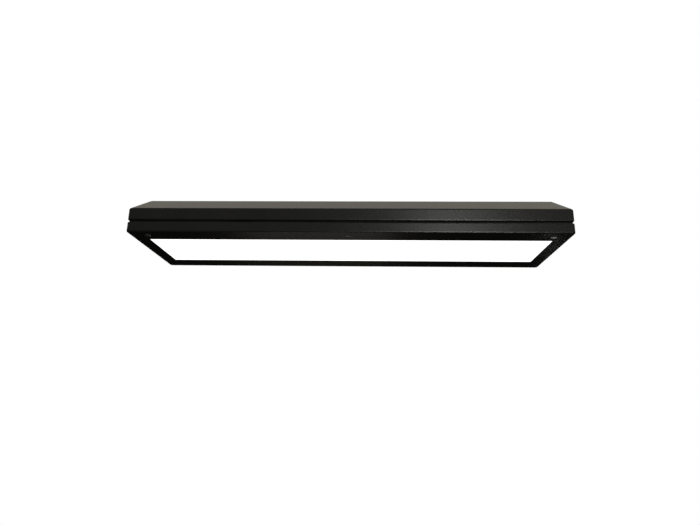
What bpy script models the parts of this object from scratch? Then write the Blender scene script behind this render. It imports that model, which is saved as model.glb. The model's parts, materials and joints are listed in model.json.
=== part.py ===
"""Suspended LED strip batten.

A long steel housing hangs from a rail on its deck, with LED strips, drivers and wiring on a white
gear tray inside. A door frame with an opal diffuser closes it from below. The door swings down on
two rear hinges, and three quarter-turn latches hold its front edge.

Frame: +X along the batten, -Y is the front, +Z is up. The origin is the centre of the hanging
rail's top face. Heights named below are measured up from the door's underside, and level() turns
such a height into a Z of the frame.
"""

import math

import bmesh
import bpy
from mathutils import Matrix, Vector

for leftover in list(bpy.data.objects):
    bpy.data.objects.remove(leftover, do_unlink=True)

MM = 0.001

# Driving dimensions of the batten.
LENGTH = 1200 * MM
DEPTH = 350 * MM
DOOR_HEIGHT = 29 * MM
GROOVE = 5 * MM
BAND_HEIGHT = 33 * MM
SHOULDER_RISE = 38 * MM
SHOULDER_INSET = 40 * MM
BEZEL_FRONT = 68 * MM
BEZEL_SIDE = 40 * MM
SHEET = 1.2 * MM
CORNER_RADIUS = 8 * MM
CORNER_STEPS = 3
HOUSING_FOLD = 4 * MM
DOOR_FOLD = 2.5 * MM
TOUCH = 0.3 * MM

# Shafts that turn in bores. Both have flat sides, so a bore's flats clear the shaft's corners.
SHAFT_SIDES = 16
RUNNING_FIT = 0.1 * MM

# Hanging rail on the deck.
RAIL_LENGTH = 900 * MM
RAIL_HEIGHT = 26 * MM
RAIL_TOP_WIDTH = 44 * MM
RAIL_FOOT_WIDTH = 20 * MM
RAIL_SHEET = 2.5 * MM
RAIL_SLOT_X = 380 * MM
RAIL_SLOT_LENGTH = 30 * MM
RAIL_SLOT_WIDTH = 11 * MM
RAIL_SCREW_X = 420 * MM
RAIL_SCREW_GRIP = 9 * MM

# Heights above the door's underside.
LIP_HEIGHT = DOOR_HEIGHT + GROOVE
BAND_TOP = LIP_HEIGHT + BAND_HEIGHT
DECK_HEIGHT = BAND_TOP + SHOULDER_RISE
RAIL_FOOT = DECK_HEIGHT + TOUCH
HEIGHT = RAIL_FOOT + RAIL_HEIGHT

HALF_LENGTH = LENGTH / 2
HALF_DEPTH = DEPTH / 2
LIP_WIDTH = 24 * MM
DOOR_RIM_WIDTH = 12 * MM
OPENING_X = HALF_LENGTH - BEZEL_SIDE
OPENING_Y = HALF_DEPTH - BEZEL_FRONT

# Gear tray, a white pan that hangs upside down above the lip.
TRAY_SHEET = 1.0 * MM
TRAY_FLANGE_HEIGHT = LIP_HEIGHT + SHEET + TOUCH
TRAY_BASE_HEIGHT = 62 * MM
TRAY_TOP = TRAY_BASE_HEIGHT + TRAY_SHEET
TRAY_FLANGE = 18 * MM
TRAY_WING = 32 * MM
TRAY_FOLD = 2.5 * MM
TRAY_CORNER = 6 * MM
TRAY_OUTER_X = HALF_LENGTH - 8 * MM
TRAY_OUTER_Y = HALF_DEPTH - 7 * MM
TRAY_SCREW_X = 480 * MM
TRAY_SCREW_Y = HALF_DEPTH - 19 * MM

# LED strips under the tray.
STRIP_ROWS = 4
STRIP_PITCH = 56 * MM
STRIP_LENGTH = 1070 * MM
STRIP_WIDTH = 20 * MM
STRIP_THICKNESS = 1.6 * MM
STRIP_HEIGHT = TRAY_BASE_HEIGHT - TOUCH - STRIP_THICKNESS
CHIPS_PER_STRIP = 20
CHIP_LENGTH = 3.5 * MM
CHIP_WIDTH = 2.8 * MM
CHIP_DROP = 0.7 * MM

# Door hinges: the barrels run behind the rear face, level with the groove.
HINGE_XS = {"left": -450 * MM, "right": 450 * MM}
LEAF_WIDTH = 60 * MM
LEAF_SHEET = 1.5 * MM
LEAF_REACH = 28 * MM
BARREL_RADIUS = 4 * MM
BARREL_STEPS = 11
PIN_RADIUS = 1.9 * MM
PIN_CHAMFER = 0.6 * MM
KNUCKLE_HALF = 10 * MM
HINGE_Y = HALF_DEPTH + TOUCH + BARREL_RADIUS
HINGE_HEIGHT = DOOR_HEIGHT + GROOVE / 2

# Quarter-turn latches, centred on the front bezel.
LATCH_XS = {"left": -553 * MM, "centre": 0.0, "right": 553 * MM}
LATCH_Y = -(HALF_DEPTH + OPENING_Y) / 2
LATCH_FLANGE_RADIUS = 9 * MM
LATCH_FLANGE = 2 * MM
LATCH_BODY_RADIUS = 7.5 * MM
LATCH_BODY_TOP = 14 * MM
LATCH_HEAD_RADIUS = 6.3 * MM
LATCH_HEAD_BASE = 0.2 * MM - LATCH_FLANGE
LATCH_HEAD_TOP = 1.0 * MM
LATCH_SLOT = (4.5 * MM, 0.7 * MM)
LATCH_SLOT_DEPTH = 1.0 * MM
STEM_RADIUS = 3.0 * MM
STEM_TOP = 27 * MM
PAWL_HEIGHT = 21 * MM
PAWL_THICKNESS = 3 * MM
PAWL_HALF_WIDTH = 5 * MM
PAWL_REACH = 16 * MM
PAWL_HEEL_STEPS = 6
KEEPER_HEIGHT = 18 * MM
KEEPER_SHEET = 1.5 * MM
KEEPER_HALF_WIDTH = 12 * MM
KEEPER_OUTER = PAWL_REACH + 4.5 * MM
KEEPER_INNER = 10 * MM

# Diffuser and the sections that hold its edge.
DIFFUSER_OVERLAP = 10 * MM
DIFFUSER_THICKNESS = 3 * MM
STUD_RADIUS = 2.0 * MM
STUD_LENGTH = 9 * MM
STUD_OFFSET = 17 * MM
STUD_XS = (-480 * MM, -160 * MM, 160 * MM, 480 * MM)
STUD_YS = (-60 * MM, 60 * MM)
RETAINER_FOOT = 23 * MM
RETAINER_EDGE = DIFFUSER_OVERLAP + 1.3 * MM
RETAINER_LEG = 1 * MM
RETAINER_ENDS = (6 * MM, -3 * MM)
OPENING_CORNER = 1.5 * MM
GASKET_INSETS = (4 * MM, 11 * MM)
GASKET_CORNER = 5 * MM

# Gear above the tray and the inlet in the deck.
INLET_X = -505 * MM
INLET_FLANGE = (12 * MM, 26 * MM)
INLET_BODY = (9.8 * MM, 13.5 * MM)
INLET_FLANGE_THICKNESS = 3 * MM
INLET_DEPTH = 20 * MM
INLET_RECESS = (8.3 * MM, 12 * MM)
INLET_RECESS_CORNER = 2.5 * MM
INLET_FLOOR = 4 * MM
INLET_PIN = (2 * MM, 1 * MM)
INLET_PIN_SHIFT = 2.5 * MM
INLET_PIN_SPREAD = 7 * MM
INLET_PIN_TIP = 2.5 * MM
INLET_PIN_TAIL = 28 * MM
EYE_X = 505 * MM
EYE_HALF_WIDTH = 22 * MM
EYE_FOOT = 24 * MM
EYE_RISE = 26 * MM
EYE_SHEET = 3 * MM
EYE_HOLE_RISE = 15.5 * MM
EYE_HOLE_RADIUS = 7.5 * MM
DRIVER_X = 230 * MM
DRIVER_LENGTH = 240 * MM
DRIVER_WIDTH = 40 * MM
DRIVER_HEIGHT = 28 * MM
DRIVER_EAR = 15 * MM
DRIVER_EAR_THICKNESS = 2 * MM
DRIVER_PORT = TRAY_TOP + 15 * MM
BLOCK_X = -420 * MM
BLOCK_SIZE = (20 * MM, 44 * MM, 17 * MM)
BLOCK_PITCH = 8 * MM
BLOCK_ENTRY = TRAY_TOP + TOUCH + 8 * MM
BLOCK_OUTLET_YS = (-15 * MM, 0.0, 14 * MM)
BLOCK_INSERTION = 3 * MM
BLOCK_ENTRY_RADIUS = 1.7 * MM
BLOCK_OUTLET_RADIUS = 2.8 * MM
BLOCK_ENTRY_DEPTH = 5 * MM
BLOCK_WELL_YS = (-14 * MM, -5 * MM, 5 * MM, 14 * MM)
BLOCK_WELL_RADIUS = 2.2 * MM
BLOCK_WELL_DEPTH = 4 * MM
EARTH_X = -385 * MM
EARTH_Y = -STRIP_PITCH
CORE_RADIUS = 1.2 * MM
CORE_SPREAD = 1.6 * MM
CABLE_RADIUS = 2.2 * MM
SHEATH_RADIUS = 3.2 * MM
CABLE_END_KNOTS = (8 * MM, 18 * MM)
LEAD_HOLE_RADIUS = 3.5 * MM
SOLDER_REACH = 6 * MM
RING_RADIUS = 5 * MM
RING_THICKNESS = 1 * MM
RING_SIDES = 16
LEAD_EXITS = {"left": (-60 * MM, -STRIP_PITCH), "right": (400 * MM, STRIP_PITCH)}

SCREW_RADIUS = 2.0 * MM
SCREW_HEAD_RADIUS = 3.8 * MM
SCREW_HEAD_HEIGHT = 2.4 * MM
SCREW_HOLE = 2.4 * MM
SCREW_SIDES = 8
SHORT_GRIP = 6 * MM
HOLE_SIDES = 12
LARGE_HOLE_SIDES = 20

# Turns for pieces whose own axis is Z.
UPRIGHT = Matrix.Identity(4)
HEAD_DOWN = Matrix.Rotation(math.pi, 4, "X")
ALONG_X = Matrix.Rotation(math.pi / 2, 4, "Y")
ALONG_Y = Matrix.Rotation(-math.pi / 2, 4, "X")

# Turns that stand a flat outline's plane across X or Y.
ACROSS = {
    "X": Matrix(((0, 0, 1, 0), (1, 0, 0, 0), (0, 1, 0, 0), (0, 0, 0, 1))),
    "Y": Matrix(((1, 0, 0, 0), (0, 0, -1, 0), (0, 1, 0, 0), (0, 0, 0, 1))),
    "Z": UPRIGHT,
}


def level(height):
    """Z of a height above the door's underside."""
    return height - HEIGHT


def bore_for(radius):
    """Corner radius of a bore whose flats clear a turning shaft by the running fit."""
    return (radius + RUNNING_FIT) / math.cos(math.pi / SHAFT_SIDES)


def at(x, y, height, turn=UPRIGHT):
    """A matrix that turns a piece and puts it at a place."""
    return Matrix.Translation((x, y, level(height))) @ turn


# ---------------------------------------------------------------- helpers


def new_collection(name):
    collection = bpy.data.collections.new(name)
    bpy.context.scene.collection.children.link(collection)
    return collection


def new_material(name, colour, roughness, metallic=0.0):
    material = bpy.data.materials.new(name)
    material.use_nodes = True
    shader = material.node_tree.nodes["Principled BSDF"]
    shader.inputs["Base Color"].default_value = (*colour, 1.0)
    shader.inputs["Roughness"].default_value = roughness
    shader.inputs["Metallic"].default_value = metallic
    return material


def new_pivot(name, location, parent=None):
    """An empty on a joint's axis, which carries the pieces that turn about it."""
    pivot = bpy.data.objects.new(name, None)
    pivot.location = location
    PARTS.objects.link(pivot)
    attach(pivot, parent)
    return pivot


def attach(obj, pivot):
    """Parents an object to a pivot and leaves it where it is."""
    if pivot:
        obj.parent = pivot
        obj.matrix_parent_inverse = Matrix.Translation(-pivot.location)


def place(name, mesh, material, pivot=None, matrix=UPRIGHT):
    """Makes a named piece of the mesh."""
    if not mesh.materials:
        mesh.materials.append(material)
    obj = bpy.data.objects.new(name, mesh)
    obj.matrix_basis = matrix
    PARTS.objects.link(obj)
    attach(obj, pivot)
    return obj


def finished(bm, name):
    """Ends a bmesh: welds it, turns its faces outwards and shades it."""
    bmesh.ops.remove_doubles(bm, verts=bm.verts, dist=0.001 * MM)
    bmesh.ops.recalc_face_normals(bm, faces=bm.faces)
    mesh = bpy.data.meshes.new(name)
    bm.to_mesh(mesh)
    bm.free()
    mesh.shade_smooth()
    mesh.set_sharp_from_angle(angle=math.radians(35))
    return mesh


def add_box(bm, low, high):
    """An upright box between two corners, whose third numbers are heights."""
    size = [b - a for a, b in zip(low, high)]
    middle = [(a + b) / 2 for a, b in zip(low, high)]
    matrix = at(*middle) @ Matrix.Diagonal((*size, 1.0))
    bmesh.ops.create_cube(bm, size=1.0, matrix=matrix)


def add_rod(bm, radius, length, matrix, sides):
    """A cylinder centred on the matrix's origin, along its Z."""
    bmesh.ops.create_cone(
        bm,
        cap_ends=True,
        segments=sides,
        radius1=radius,
        radius2=radius,
        depth=length,
        matrix=matrix,
    )


def box(name, low, high, material, pivot=None):
    bm = bmesh.new()
    add_box(bm, low, high)
    return place(name, finished(bm, name), material, pivot)


def mesh_of_curve(curve, matrix):
    """The welded mesh of a curve, moved by the matrix. The curve is used up."""
    obj = bpy.data.objects.new(curve.name, curve)
    bpy.context.scene.collection.objects.link(obj)
    evaluated = obj.evaluated_get(bpy.context.evaluated_depsgraph_get())
    mesh = bpy.data.meshes.new_from_object(evaluated)
    name = curve.name
    bpy.data.objects.remove(obj)
    bpy.data.curves.remove(curve)
    bm = bmesh.new()
    bm.from_mesh(mesh)
    bmesh.ops.transform(bm, matrix=matrix, verts=bm.verts)
    bpy.data.meshes.remove(mesh)
    return finished(bm, name)


def flat_mesh(name, outlines, low, high, axis):
    """A flat outline, and any holes in it, made solid from low to high along an axis.

    Points are (y, height) across X, (x, height) across Y, and (x, y) across Z.
    """
    curve = bpy.data.curves.new(name, "CURVE")
    curve.dimensions = "2D"
    curve.fill_mode = "BOTH"
    curve.extrude = (high - low) / 2
    for outline in outlines:
        spline = curve.splines.new("POLY")
        spline.points.add(len(outline) - 1)
        spline.use_cyclic_u = True
        for point, (u, v) in zip(spline.points, outline):
            point.co = (u, v, 0.0, 1.0)
    middle = (low + high) / 2
    places = {"X": at(middle, 0, 0), "Y": at(0, middle, 0), "Z": at(0, 0, middle)}
    return mesh_of_curve(curve, places[axis] @ ACROSS[axis])


def prism(name, outlines, low, high, axis, material, pivot=None):
    return place(name, flat_mesh(name, outlines, low, high, axis), material, pivot)


def turned(name, profile, sides, matrix, material, pivot=None):
    """A (radius, height) profile turned about the matrix's Z.

    The outer side runs from top to bottom. A profile that stays off the axis closes into a ring.
    """
    mesh = bpy.data.meshes.new(name)
    count = len(profile)
    edges = [(i, i + 1) for i in range(count - 1)]
    if profile[0][0] > 0:
        edges.append((count - 1, 0))
    mesh.from_pydata([(radius, 0.0, height) for radius, height in profile], edges, [])
    obj = place(name, mesh, material, pivot, matrix)
    screw = obj.modifiers.new("turn", "SCREW")
    screw.steps = sides
    screw.render_steps = sides
    screw.use_merge_vertices = True
    screw.merge_threshold = 0.00001
    return obj


def join_or_cut(target, mesh, operation):
    """Gives the target a Boolean with a hidden operand of the mesh."""
    operand = bpy.data.objects.new(mesh.name, mesh)
    CUTTERS.objects.link(operand)
    operand.hide_render = True
    operand.display_type = "WIRE"
    modifier = target.modifiers.new(mesh.name, "BOOLEAN")
    modifier.object = operand
    modifier.operation = operation
    modifier.solver = "EXACT"


def cut(target, bm, name):
    join_or_cut(target, finished(bm, name), "DIFFERENCE")


def join(target, bm, name):
    join_or_cut(target, finished(bm, name), "UNION")


def drill(target, name, matrices, radius=SCREW_HOLE, length=14 * MM, sides=HOLE_SIDES):
    """Drills one hole through the target at each matrix, along its Z."""
    bm = bmesh.new()
    for matrix in matrices:
        add_rod(bm, radius, length, matrix, sides)
    cut(target, bm, name)


def rounded_outline(half_x, half_y, radius, steps=CORNER_STEPS):
    """Points (x, y) of a rounded rectangle, each corner an arc of the given steps."""
    points = []
    for quarter in range(4):
        sign_x = 1 if quarter in (0, 3) else -1
        sign_y = 1 if quarter in (0, 1) else -1
        for step in range(steps + 1):
            angle = (quarter + step / steps) * math.pi / 2
            x = sign_x * (half_x - radius) + radius * math.cos(angle)
            y = sign_y * (half_y - radius) + radius * math.sin(angle)
            points.append((x, y))
    return points


def sheet_metal(name, rings, is_capped, thickness, fold, material, pivot=None):
    """A folded sheet between rings of unlike size, with rounded folds, thickened inwards.

    Each ring is (half x, half y, corner radius, height). The last one is filled if is_capped.
    """
    bm = bmesh.new()
    loops = []
    for half_x, half_y, radius, height in rings:
        outline = rounded_outline(half_x, half_y, radius)
        loops.append([bm.verts.new((x, y, level(height))) for x, y in outline])
    for lower, upper in zip(loops, loops[1:]):
        for i, corner in enumerate(lower):
            j = (i + 1) % len(lower)
            bm.faces.new((corner, lower[j], upper[j], upper[i]))
    if is_capped:
        bm.faces.new(loops[-1])
    obj = place(name, finished(bm, name), material, pivot)
    folds = obj.modifiers.new("folds", "BEVEL")
    folds.width = fold
    folds.segments = 2
    folds.limit_method = "ANGLE"
    folds.angle_limit = math.radians(30)
    solid = obj.modifiers.new("sheet", "SOLIDIFY")
    solid.thickness = thickness
    solid.offset = -1
    solid.use_even_offset = True
    return obj


def smooth_route(points, steps=3):
    """Points of a Catmull-Rom curve through the route's own points."""
    knots = [Vector(point) for point in points]
    knots = [2 * knots[0] - knots[1], *knots, 2 * knots[-1] - knots[-2]]
    route = []
    for a, b, c, d in zip(knots, knots[1:], knots[2:], knots[3:]):
        for step in range(steps):
            t = step / steps
            linear = (c - a) * t
            square = (2 * a - 5 * b + 4 * c - d) * t**2
            cubic = (3 * b - a - 3 * c + d) * t**3
            route.append(0.5 * (2 * b + linear + square + cubic))
    route.append(knots[-2])
    return route


def wire_curve(name, route, radius):
    """A round wire along a smooth curve through its route of x, y, height."""
    curve = bpy.data.curves.new(name, "CURVE")
    curve.dimensions = "3D"
    curve.bevel_depth = radius
    curve.bevel_resolution = 1
    curve.use_fill_caps = True
    points = smooth_route([(x, y, level(height)) for x, y, height in route])
    spline = curve.splines.new("POLY")
    spline.points.add(len(points) - 1)
    for slot, point in zip(spline.points, points):
        slot.co = (*point, 1.0)
    return curve


def cable(name, route, radius, branches=()):
    """A cable, and the (route, radius) wires that join it, as one piece."""
    mesh = mesh_of_curve(wire_curve(name, route, radius), UPRIGHT)
    obj = place(name, mesh, WIRE_PVC)
    for number, (branch, branch_radius) in enumerate(branches, 1):
        curve = wire_curve(f"{name}_branch_{number}", branch, branch_radius)
        join_or_cut(obj, mesh_of_curve(curve, UPRIGHT), "UNION")
    return obj


def pan_head_screws(name, places, grip):
    """Numbered pan-head screws: each head seats on Z 0, and its shank runs down by grip."""
    profile = [
        (0.0, SCREW_HEAD_HEIGHT),
        (SCREW_HEAD_RADIUS, SCREW_HEAD_HEIGHT),
        (SCREW_HEAD_RADIUS, 0.0),
        (SCREW_RADIUS, 0.0),
        (SCREW_RADIUS, -grip),
        (0.0, -grip),
    ]
    for number, matrix in enumerate(places, 1):
        turned(f"{name}_{number}", profile, SCREW_SIDES, matrix, ZINC)


PARTS = new_collection("led_strip_batten")
CUTTERS = new_collection("cutters")

BLACK_PAINT = new_material("black_paint", (0.02, 0.02, 0.021), 0.5)
WHITE_PAINT = new_material("white_paint", (0.85, 0.85, 0.84), 0.45)
OPAL = new_material("opal_acrylic", (0.93, 0.93, 0.92), 0.35)
ZINC = new_material("zinc_steel", (0.55, 0.55, 0.56), 0.35, 1.0)
CHROME = new_material("chrome", (0.75, 0.75, 0.76), 0.12, 1.0)
BRASS = new_material("brass", (0.72, 0.55, 0.25), 0.3, 1.0)
BLACK_PLASTIC = new_material("black_plastic", (0.03, 0.03, 0.03), 0.45)
GREY_PLASTIC = new_material("grey_plastic", (0.6, 0.6, 0.58), 0.5)
FOAM = new_material("foam_rubber", (0.012, 0.012, 0.012), 0.9)
BOARD = new_material("board_white", (0.8, 0.81, 0.8), 0.4)
DRIVER_CASE = new_material("driver_case", (0.8, 0.8, 0.78), 0.4)
WIRE_PVC = new_material("wire_pvc", (0.35, 0.06, 0.05), 0.5)

DOOR_AXIS = new_pivot("door_axis", Vector((0.0, HINGE_Y, level(HINGE_HEIGHT))))
LATCH_AXES = {
    name: new_pivot(f"latch_axis_{name}", Vector((x, LATCH_Y, level(0.0))), DOOR_AXIS)
    for name, x in LATCH_XS.items()
}


# ---------------------------------------------------------------- housing


def rail_screw_places():
    y = RAIL_TOP_WIDTH / 2 + RAIL_FOOT_WIDTH / 2
    height = RAIL_FOOT + RAIL_SHEET + TOUCH
    return [at(end * RAIL_SCREW_X, side * y, height) for end in (-1, 1) for side in (-1, 1)]


def tray_screw_places():
    """Heads under the lip, shanks up through the tray's flange."""
    height = LIP_HEIGHT - TOUCH
    ends = (-TRAY_SCREW_X, TRAY_SCREW_X)
    return [at(x, side * TRAY_SCREW_Y, height, HEAD_DOWN) for x in ends for side in (-1, 1)]


def make_housing():
    """Lip, band, sloping shoulders and flat deck, folded from one sheet."""
    top_x, top_y = HALF_LENGTH - SHOULDER_INSET, HALF_DEPTH - SHOULDER_INSET
    rings = [
        (HALF_LENGTH - LIP_WIDTH, HALF_DEPTH - LIP_WIDTH, CORNER_RADIUS / 2, LIP_HEIGHT),
        (HALF_LENGTH, HALF_DEPTH, CORNER_RADIUS, LIP_HEIGHT),
        (HALF_LENGTH, HALF_DEPTH, CORNER_RADIUS, BAND_TOP),
        (top_x, top_y, CORNER_RADIUS, DECK_HEIGHT),
    ]
    shell = sheet_metal("housing_shell", rings, True, SHEET, HOUSING_FOLD, BLACK_PAINT)
    drill(shell, "deck_holes", rail_screw_places())
    drill(shell, "lip_holes", tray_screw_places())
    bm = bmesh.new()
    half_x, half_y = INLET_BODY[0] + 2 * TOUCH, INLET_BODY[1] + 2 * TOUCH
    low, high = DECK_HEIGHT - 4 * SHEET, DECK_HEIGHT + 4 * SHEET
    add_box(bm, (INLET_X - half_x, -half_y, low), (INLET_X + half_x, half_y, high))
    cut(shell, bm, "inlet_window")


def make_rail():
    """A hat section with a slot at each end for a hook clamp's bolt."""
    top, foot, t = RAIL_TOP_WIDTH / 2, RAIL_FOOT_WIDTH, RAIL_SHEET
    half_outline = [
        (top + foot, RAIL_FOOT),
        (top + foot, RAIL_FOOT + t),
        (top, RAIL_FOOT + t),
        (top, HEIGHT),
    ]
    inside = [
        (t - top, RAIL_FOOT),
        (t - top, HEIGHT - t),
        (top - t, HEIGHT - t),
        (top - t, RAIL_FOOT),
    ]
    mirrored = [(-y, height) for y, height in reversed(half_outline)]
    half = RAIL_LENGTH / 2
    rail = prism("hanging_rail", [half_outline + mirrored + inside], -half, half, "X", ZINC)
    drill(rail, "rail_foot_holes", rail_screw_places())
    end_radius = RAIL_SLOT_WIDTH / 2 - 0.001 * MM
    outline = rounded_outline(RAIL_SLOT_LENGTH / 2, RAIL_SLOT_WIDTH / 2, end_radius)
    slots = [[(x + shift, y) for x, y in outline] for shift in (-RAIL_SLOT_X, RAIL_SLOT_X)]
    cutter = flat_mesh("rail_slots", slots, HEIGHT - 3 * t, HEIGHT + 3 * t, "Z")
    join_or_cut(rail, cutter, "DIFFERENCE")
    pan_head_screws("rail_screw", rail_screw_places(), RAIL_SCREW_GRIP)


def make_safety_eye():
    """An angle welded to the deck, whose upright has the hole for a safety bond."""
    base, t = DECK_HEIGHT + TOUCH, EYE_SHEET
    outline = [
        (-t, base),
        (EYE_FOOT - t, base),
        (EYE_FOOT - t, base + t),
        (0.0, base + t),
        (0.0, base + EYE_RISE),
        (-t, base + EYE_RISE),
    ]
    left, right = EYE_X - EYE_HALF_WIDTH, EYE_X + EYE_HALF_WIDTH
    eye = prism("safety_eye", [outline], left, right, "X", ZINC)
    hole = at(EYE_X, -t / 2, base + EYE_HOLE_RISE, ALONG_Y)
    drill(eye, "eye_hole", [hole], radius=EYE_HOLE_RADIUS, sides=LARGE_HOLE_SIDES)


def inlet_pins():
    """Name, x and y of the inlet's three flat pins, with the earth pin out of line."""
    return (
        ("live", INLET_X - INLET_PIN_SHIFT, -INLET_PIN_SPREAD),
        ("earth", INLET_X + INLET_PIN_SHIFT, 0.0),
        ("neutral", INLET_X - INLET_PIN_SHIFT, INLET_PIN_SPREAD),
    )


def add_inlet_pin(bm, x, y, clearance=0.0):
    half_x, half_y = INLET_PIN[0] + clearance, INLET_PIN[1] + clearance
    low = (x - half_x, y - half_y, DECK_HEIGHT - INLET_PIN_TAIL)
    add_box(bm, low, (x + half_x, y + half_y, DECK_HEIGHT - INLET_PIN_TIP))


def make_inlet():
    """A snap-in mains inlet: flange on the deck, body below it, recess open to the top."""
    base = DECK_HEIGHT + TOUCH
    flange_top = base + INLET_FLANGE_THICKNESS
    bottom = DECK_HEIGHT - INLET_DEPTH
    half_x, half_y = INLET_FLANGE
    low, high = (INLET_X - half_x, -half_y, base), (INLET_X + half_x, half_y, flange_top)
    inlet = box("power_inlet", low, high, BLACK_PLASTIC)
    half_x, half_y = INLET_BODY
    bm = bmesh.new()
    middle = base + INLET_FLANGE_THICKNESS / 2
    add_box(bm, (INLET_X - half_x, -half_y, bottom), (INLET_X + half_x, half_y, middle))
    join(inlet, bm, "inlet_body")
    mouth = rounded_outline(*INLET_RECESS, INLET_RECESS_CORNER)
    mouth = [(INLET_X + x, y) for x, y in mouth]
    floor, above = bottom + INLET_FLOOR, flange_top + INLET_FLANGE_THICKNESS
    recess = flat_mesh("inlet_recess", [mouth], floor, above, "Z")
    join_or_cut(inlet, recess, "DIFFERENCE")
    slots = bmesh.new()
    for name, x, y in inlet_pins():
        add_inlet_pin(slots, x, y, TOUCH)
        bm = bmesh.new()
        add_inlet_pin(bm, x, y)
        place(f"inlet_pin_{name}", finished(bm, name), BRASS)
    cut(inlet, slots, "inlet_pin_slots")


# ---------------------------------------------------------------- gear


def driver_screw_places():
    height = TRAY_TOP + TOUCH + DRIVER_EAR_THICKNESS + TOUCH
    x = DRIVER_LENGTH / 2 + DRIVER_EAR / 2
    return [at(side * DRIVER_X + end * x, 0.0, height) for side in (-1, 1) for end in (-1, 1)]


def make_tray():
    """Flange on the lip, sloping wings that throw the light down, and a flat base."""
    inner_x, inner_y = TRAY_OUTER_X - TRAY_FLANGE, TRAY_OUTER_Y - TRAY_FLANGE
    rings = [
        (TRAY_OUTER_X, TRAY_OUTER_Y, TRAY_CORNER, TRAY_FLANGE_HEIGHT),
        (inner_x, inner_y, TRAY_CORNER, TRAY_FLANGE_HEIGHT),
        (inner_x - TRAY_WING, inner_y - TRAY_WING, TRAY_CORNER, TRAY_BASE_HEIGHT),
    ]
    tray = sheet_metal("gear_tray", rings, True, TRAY_SHEET, TRAY_FOLD, WHITE_PAINT)
    drill(tray, "tray_flange_holes", tray_screw_places())
    drill(tray, "tray_driver_holes", driver_screw_places())
    drill(tray, "tray_earth_hole", [at(EARTH_X, EARTH_Y, TRAY_TOP)])
    exits = [at(x, y, TRAY_TOP) for x, y in LEAD_EXITS.values()]
    drill(tray, "tray_lead_holes", exits, LEAD_HOLE_RADIUS)
    pan_head_screws("tray_screw", tray_screw_places(), SHORT_GRIP)


def make_led_strips():
    """Full-length boards under the tray, each with a row of LED packages."""
    half = STRIP_LENGTH / 2
    for row in range(STRIP_ROWS):
        y = (row - (STRIP_ROWS - 1) / 2) * STRIP_PITCH
        name = f"led_strip_{row + 1}"
        low = (-half, y - STRIP_WIDTH / 2, STRIP_HEIGHT)
        high = (half, y + STRIP_WIDTH / 2, STRIP_HEIGHT + STRIP_THICKNESS)
        strip = box(name, low, high, BOARD)
        bm = bmesh.new()
        dx, dy = CHIP_LENGTH / 2, CHIP_WIDTH / 2
        for i in range(CHIPS_PER_STRIP):
            x = (i + 0.5) * STRIP_LENGTH / CHIPS_PER_STRIP - half
            low = (x - dx, y - dy, STRIP_HEIGHT - CHIP_DROP)
            add_box(bm, low, (x + dx, y + dy, STRIP_HEIGHT + STRIP_THICKNESS / 2))
        join(strip, bm, f"{name}_packages")


def make_drivers():
    base = TRAY_TOP + TOUCH
    ear_top, top = base + DRIVER_EAR_THICKNESS, base + DRIVER_HEIGHT
    body, ear = DRIVER_LENGTH / 2, DRIVER_LENGTH / 2 + DRIVER_EAR
    for name, x in (("left", -DRIVER_X), ("right", DRIVER_X)):
        outline = [
            (x - ear, base),
            (x + ear, base),
            (x + ear, ear_top),
            (x + body, ear_top),
            (x + body, top),
            (x - body, top),
            (x - body, ear_top),
            (x - ear, ear_top),
        ]
        half = DRIVER_WIDTH / 2
        driver = prism(f"led_driver_{name}", [outline], -half, half, "Y", DRIVER_CASE)
        drill(driver, f"driver_{name}_holes", driver_screw_places(), length=6 * MM)
    pan_head_screws("driver_screw", driver_screw_places(), SHORT_GRIP)


def make_terminal_block():
    base = TRAY_TOP + TOUCH
    half_x, half_y = BLOCK_SIZE[0] / 2, BLOCK_SIZE[1] / 2
    top = base + BLOCK_SIZE[2]
    low, high = (BLOCK_X - half_x, -half_y, base), (BLOCK_X + half_x, half_y, top)
    block = box("terminal_block", low, high, GREY_PLASTIC)
    entries = [at(BLOCK_X - half_x, y, BLOCK_ENTRY, ALONG_X) for y in (-BLOCK_PITCH, 0.0, BLOCK_PITCH)]
    outlets = [at(BLOCK_X + half_x, y, BLOCK_ENTRY, ALONG_X) for y in BLOCK_OUTLET_YS]
    wells = [at(BLOCK_X, y, top) for y in BLOCK_WELL_YS]
    entry, well = 2 * BLOCK_ENTRY_DEPTH, 2 * BLOCK_WELL_DEPTH
    drill(block, "block_entries", entries, BLOCK_ENTRY_RADIUS, entry, SCREW_SIDES)
    drill(block, "block_outlets", outlets, BLOCK_OUTLET_RADIUS, entry, SCREW_SIDES)
    drill(block, "block_screw_wells", wells, BLOCK_WELL_RADIUS, well, SCREW_SIDES)


def make_inlet_cable():
    """Three cores from the inlet's pins to the block, sheathed in the middle."""
    centre = BLOCK_ENTRY - 1 * MM
    start, end = INLET_X + 22 * MM, BLOCK_X - 28 * MM
    block_in = BLOCK_X - BLOCK_SIZE[0] / 2 + BLOCK_INSERTION
    branches = []
    for (_, x, y), turn in zip(inlet_pins(), (210, 90, 330)):
        dy = CORE_SPREAD * math.cos(math.radians(turn))
        dz = CORE_SPREAD * math.sin(math.radians(turn))
        tail = DECK_HEIGHT - INLET_PIN_TAIL - TOUCH
        entry_y = math.copysign(BLOCK_PITCH, y) if y else 0.0
        branch = [
            (x, y, tail),
            (x + 2 * MM, y, tail - 4 * MM),
            (start - 4 * MM, dy, centre + dz),
            (start + 4 * MM, dy, centre + dz),
            (end - 4 * MM, dy, centre + dz),
            (end + 4 * MM, dy, centre + dz),
            (block_in - 8 * MM, entry_y, BLOCK_ENTRY),
            (block_in, entry_y, BLOCK_ENTRY),
        ]
        branches.append((branch, CORE_RADIUS))
    cable("inlet_cable", [(start, 0.0, centre), (end, 0.0, centre)], SHEATH_RADIUS, branches)


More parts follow.
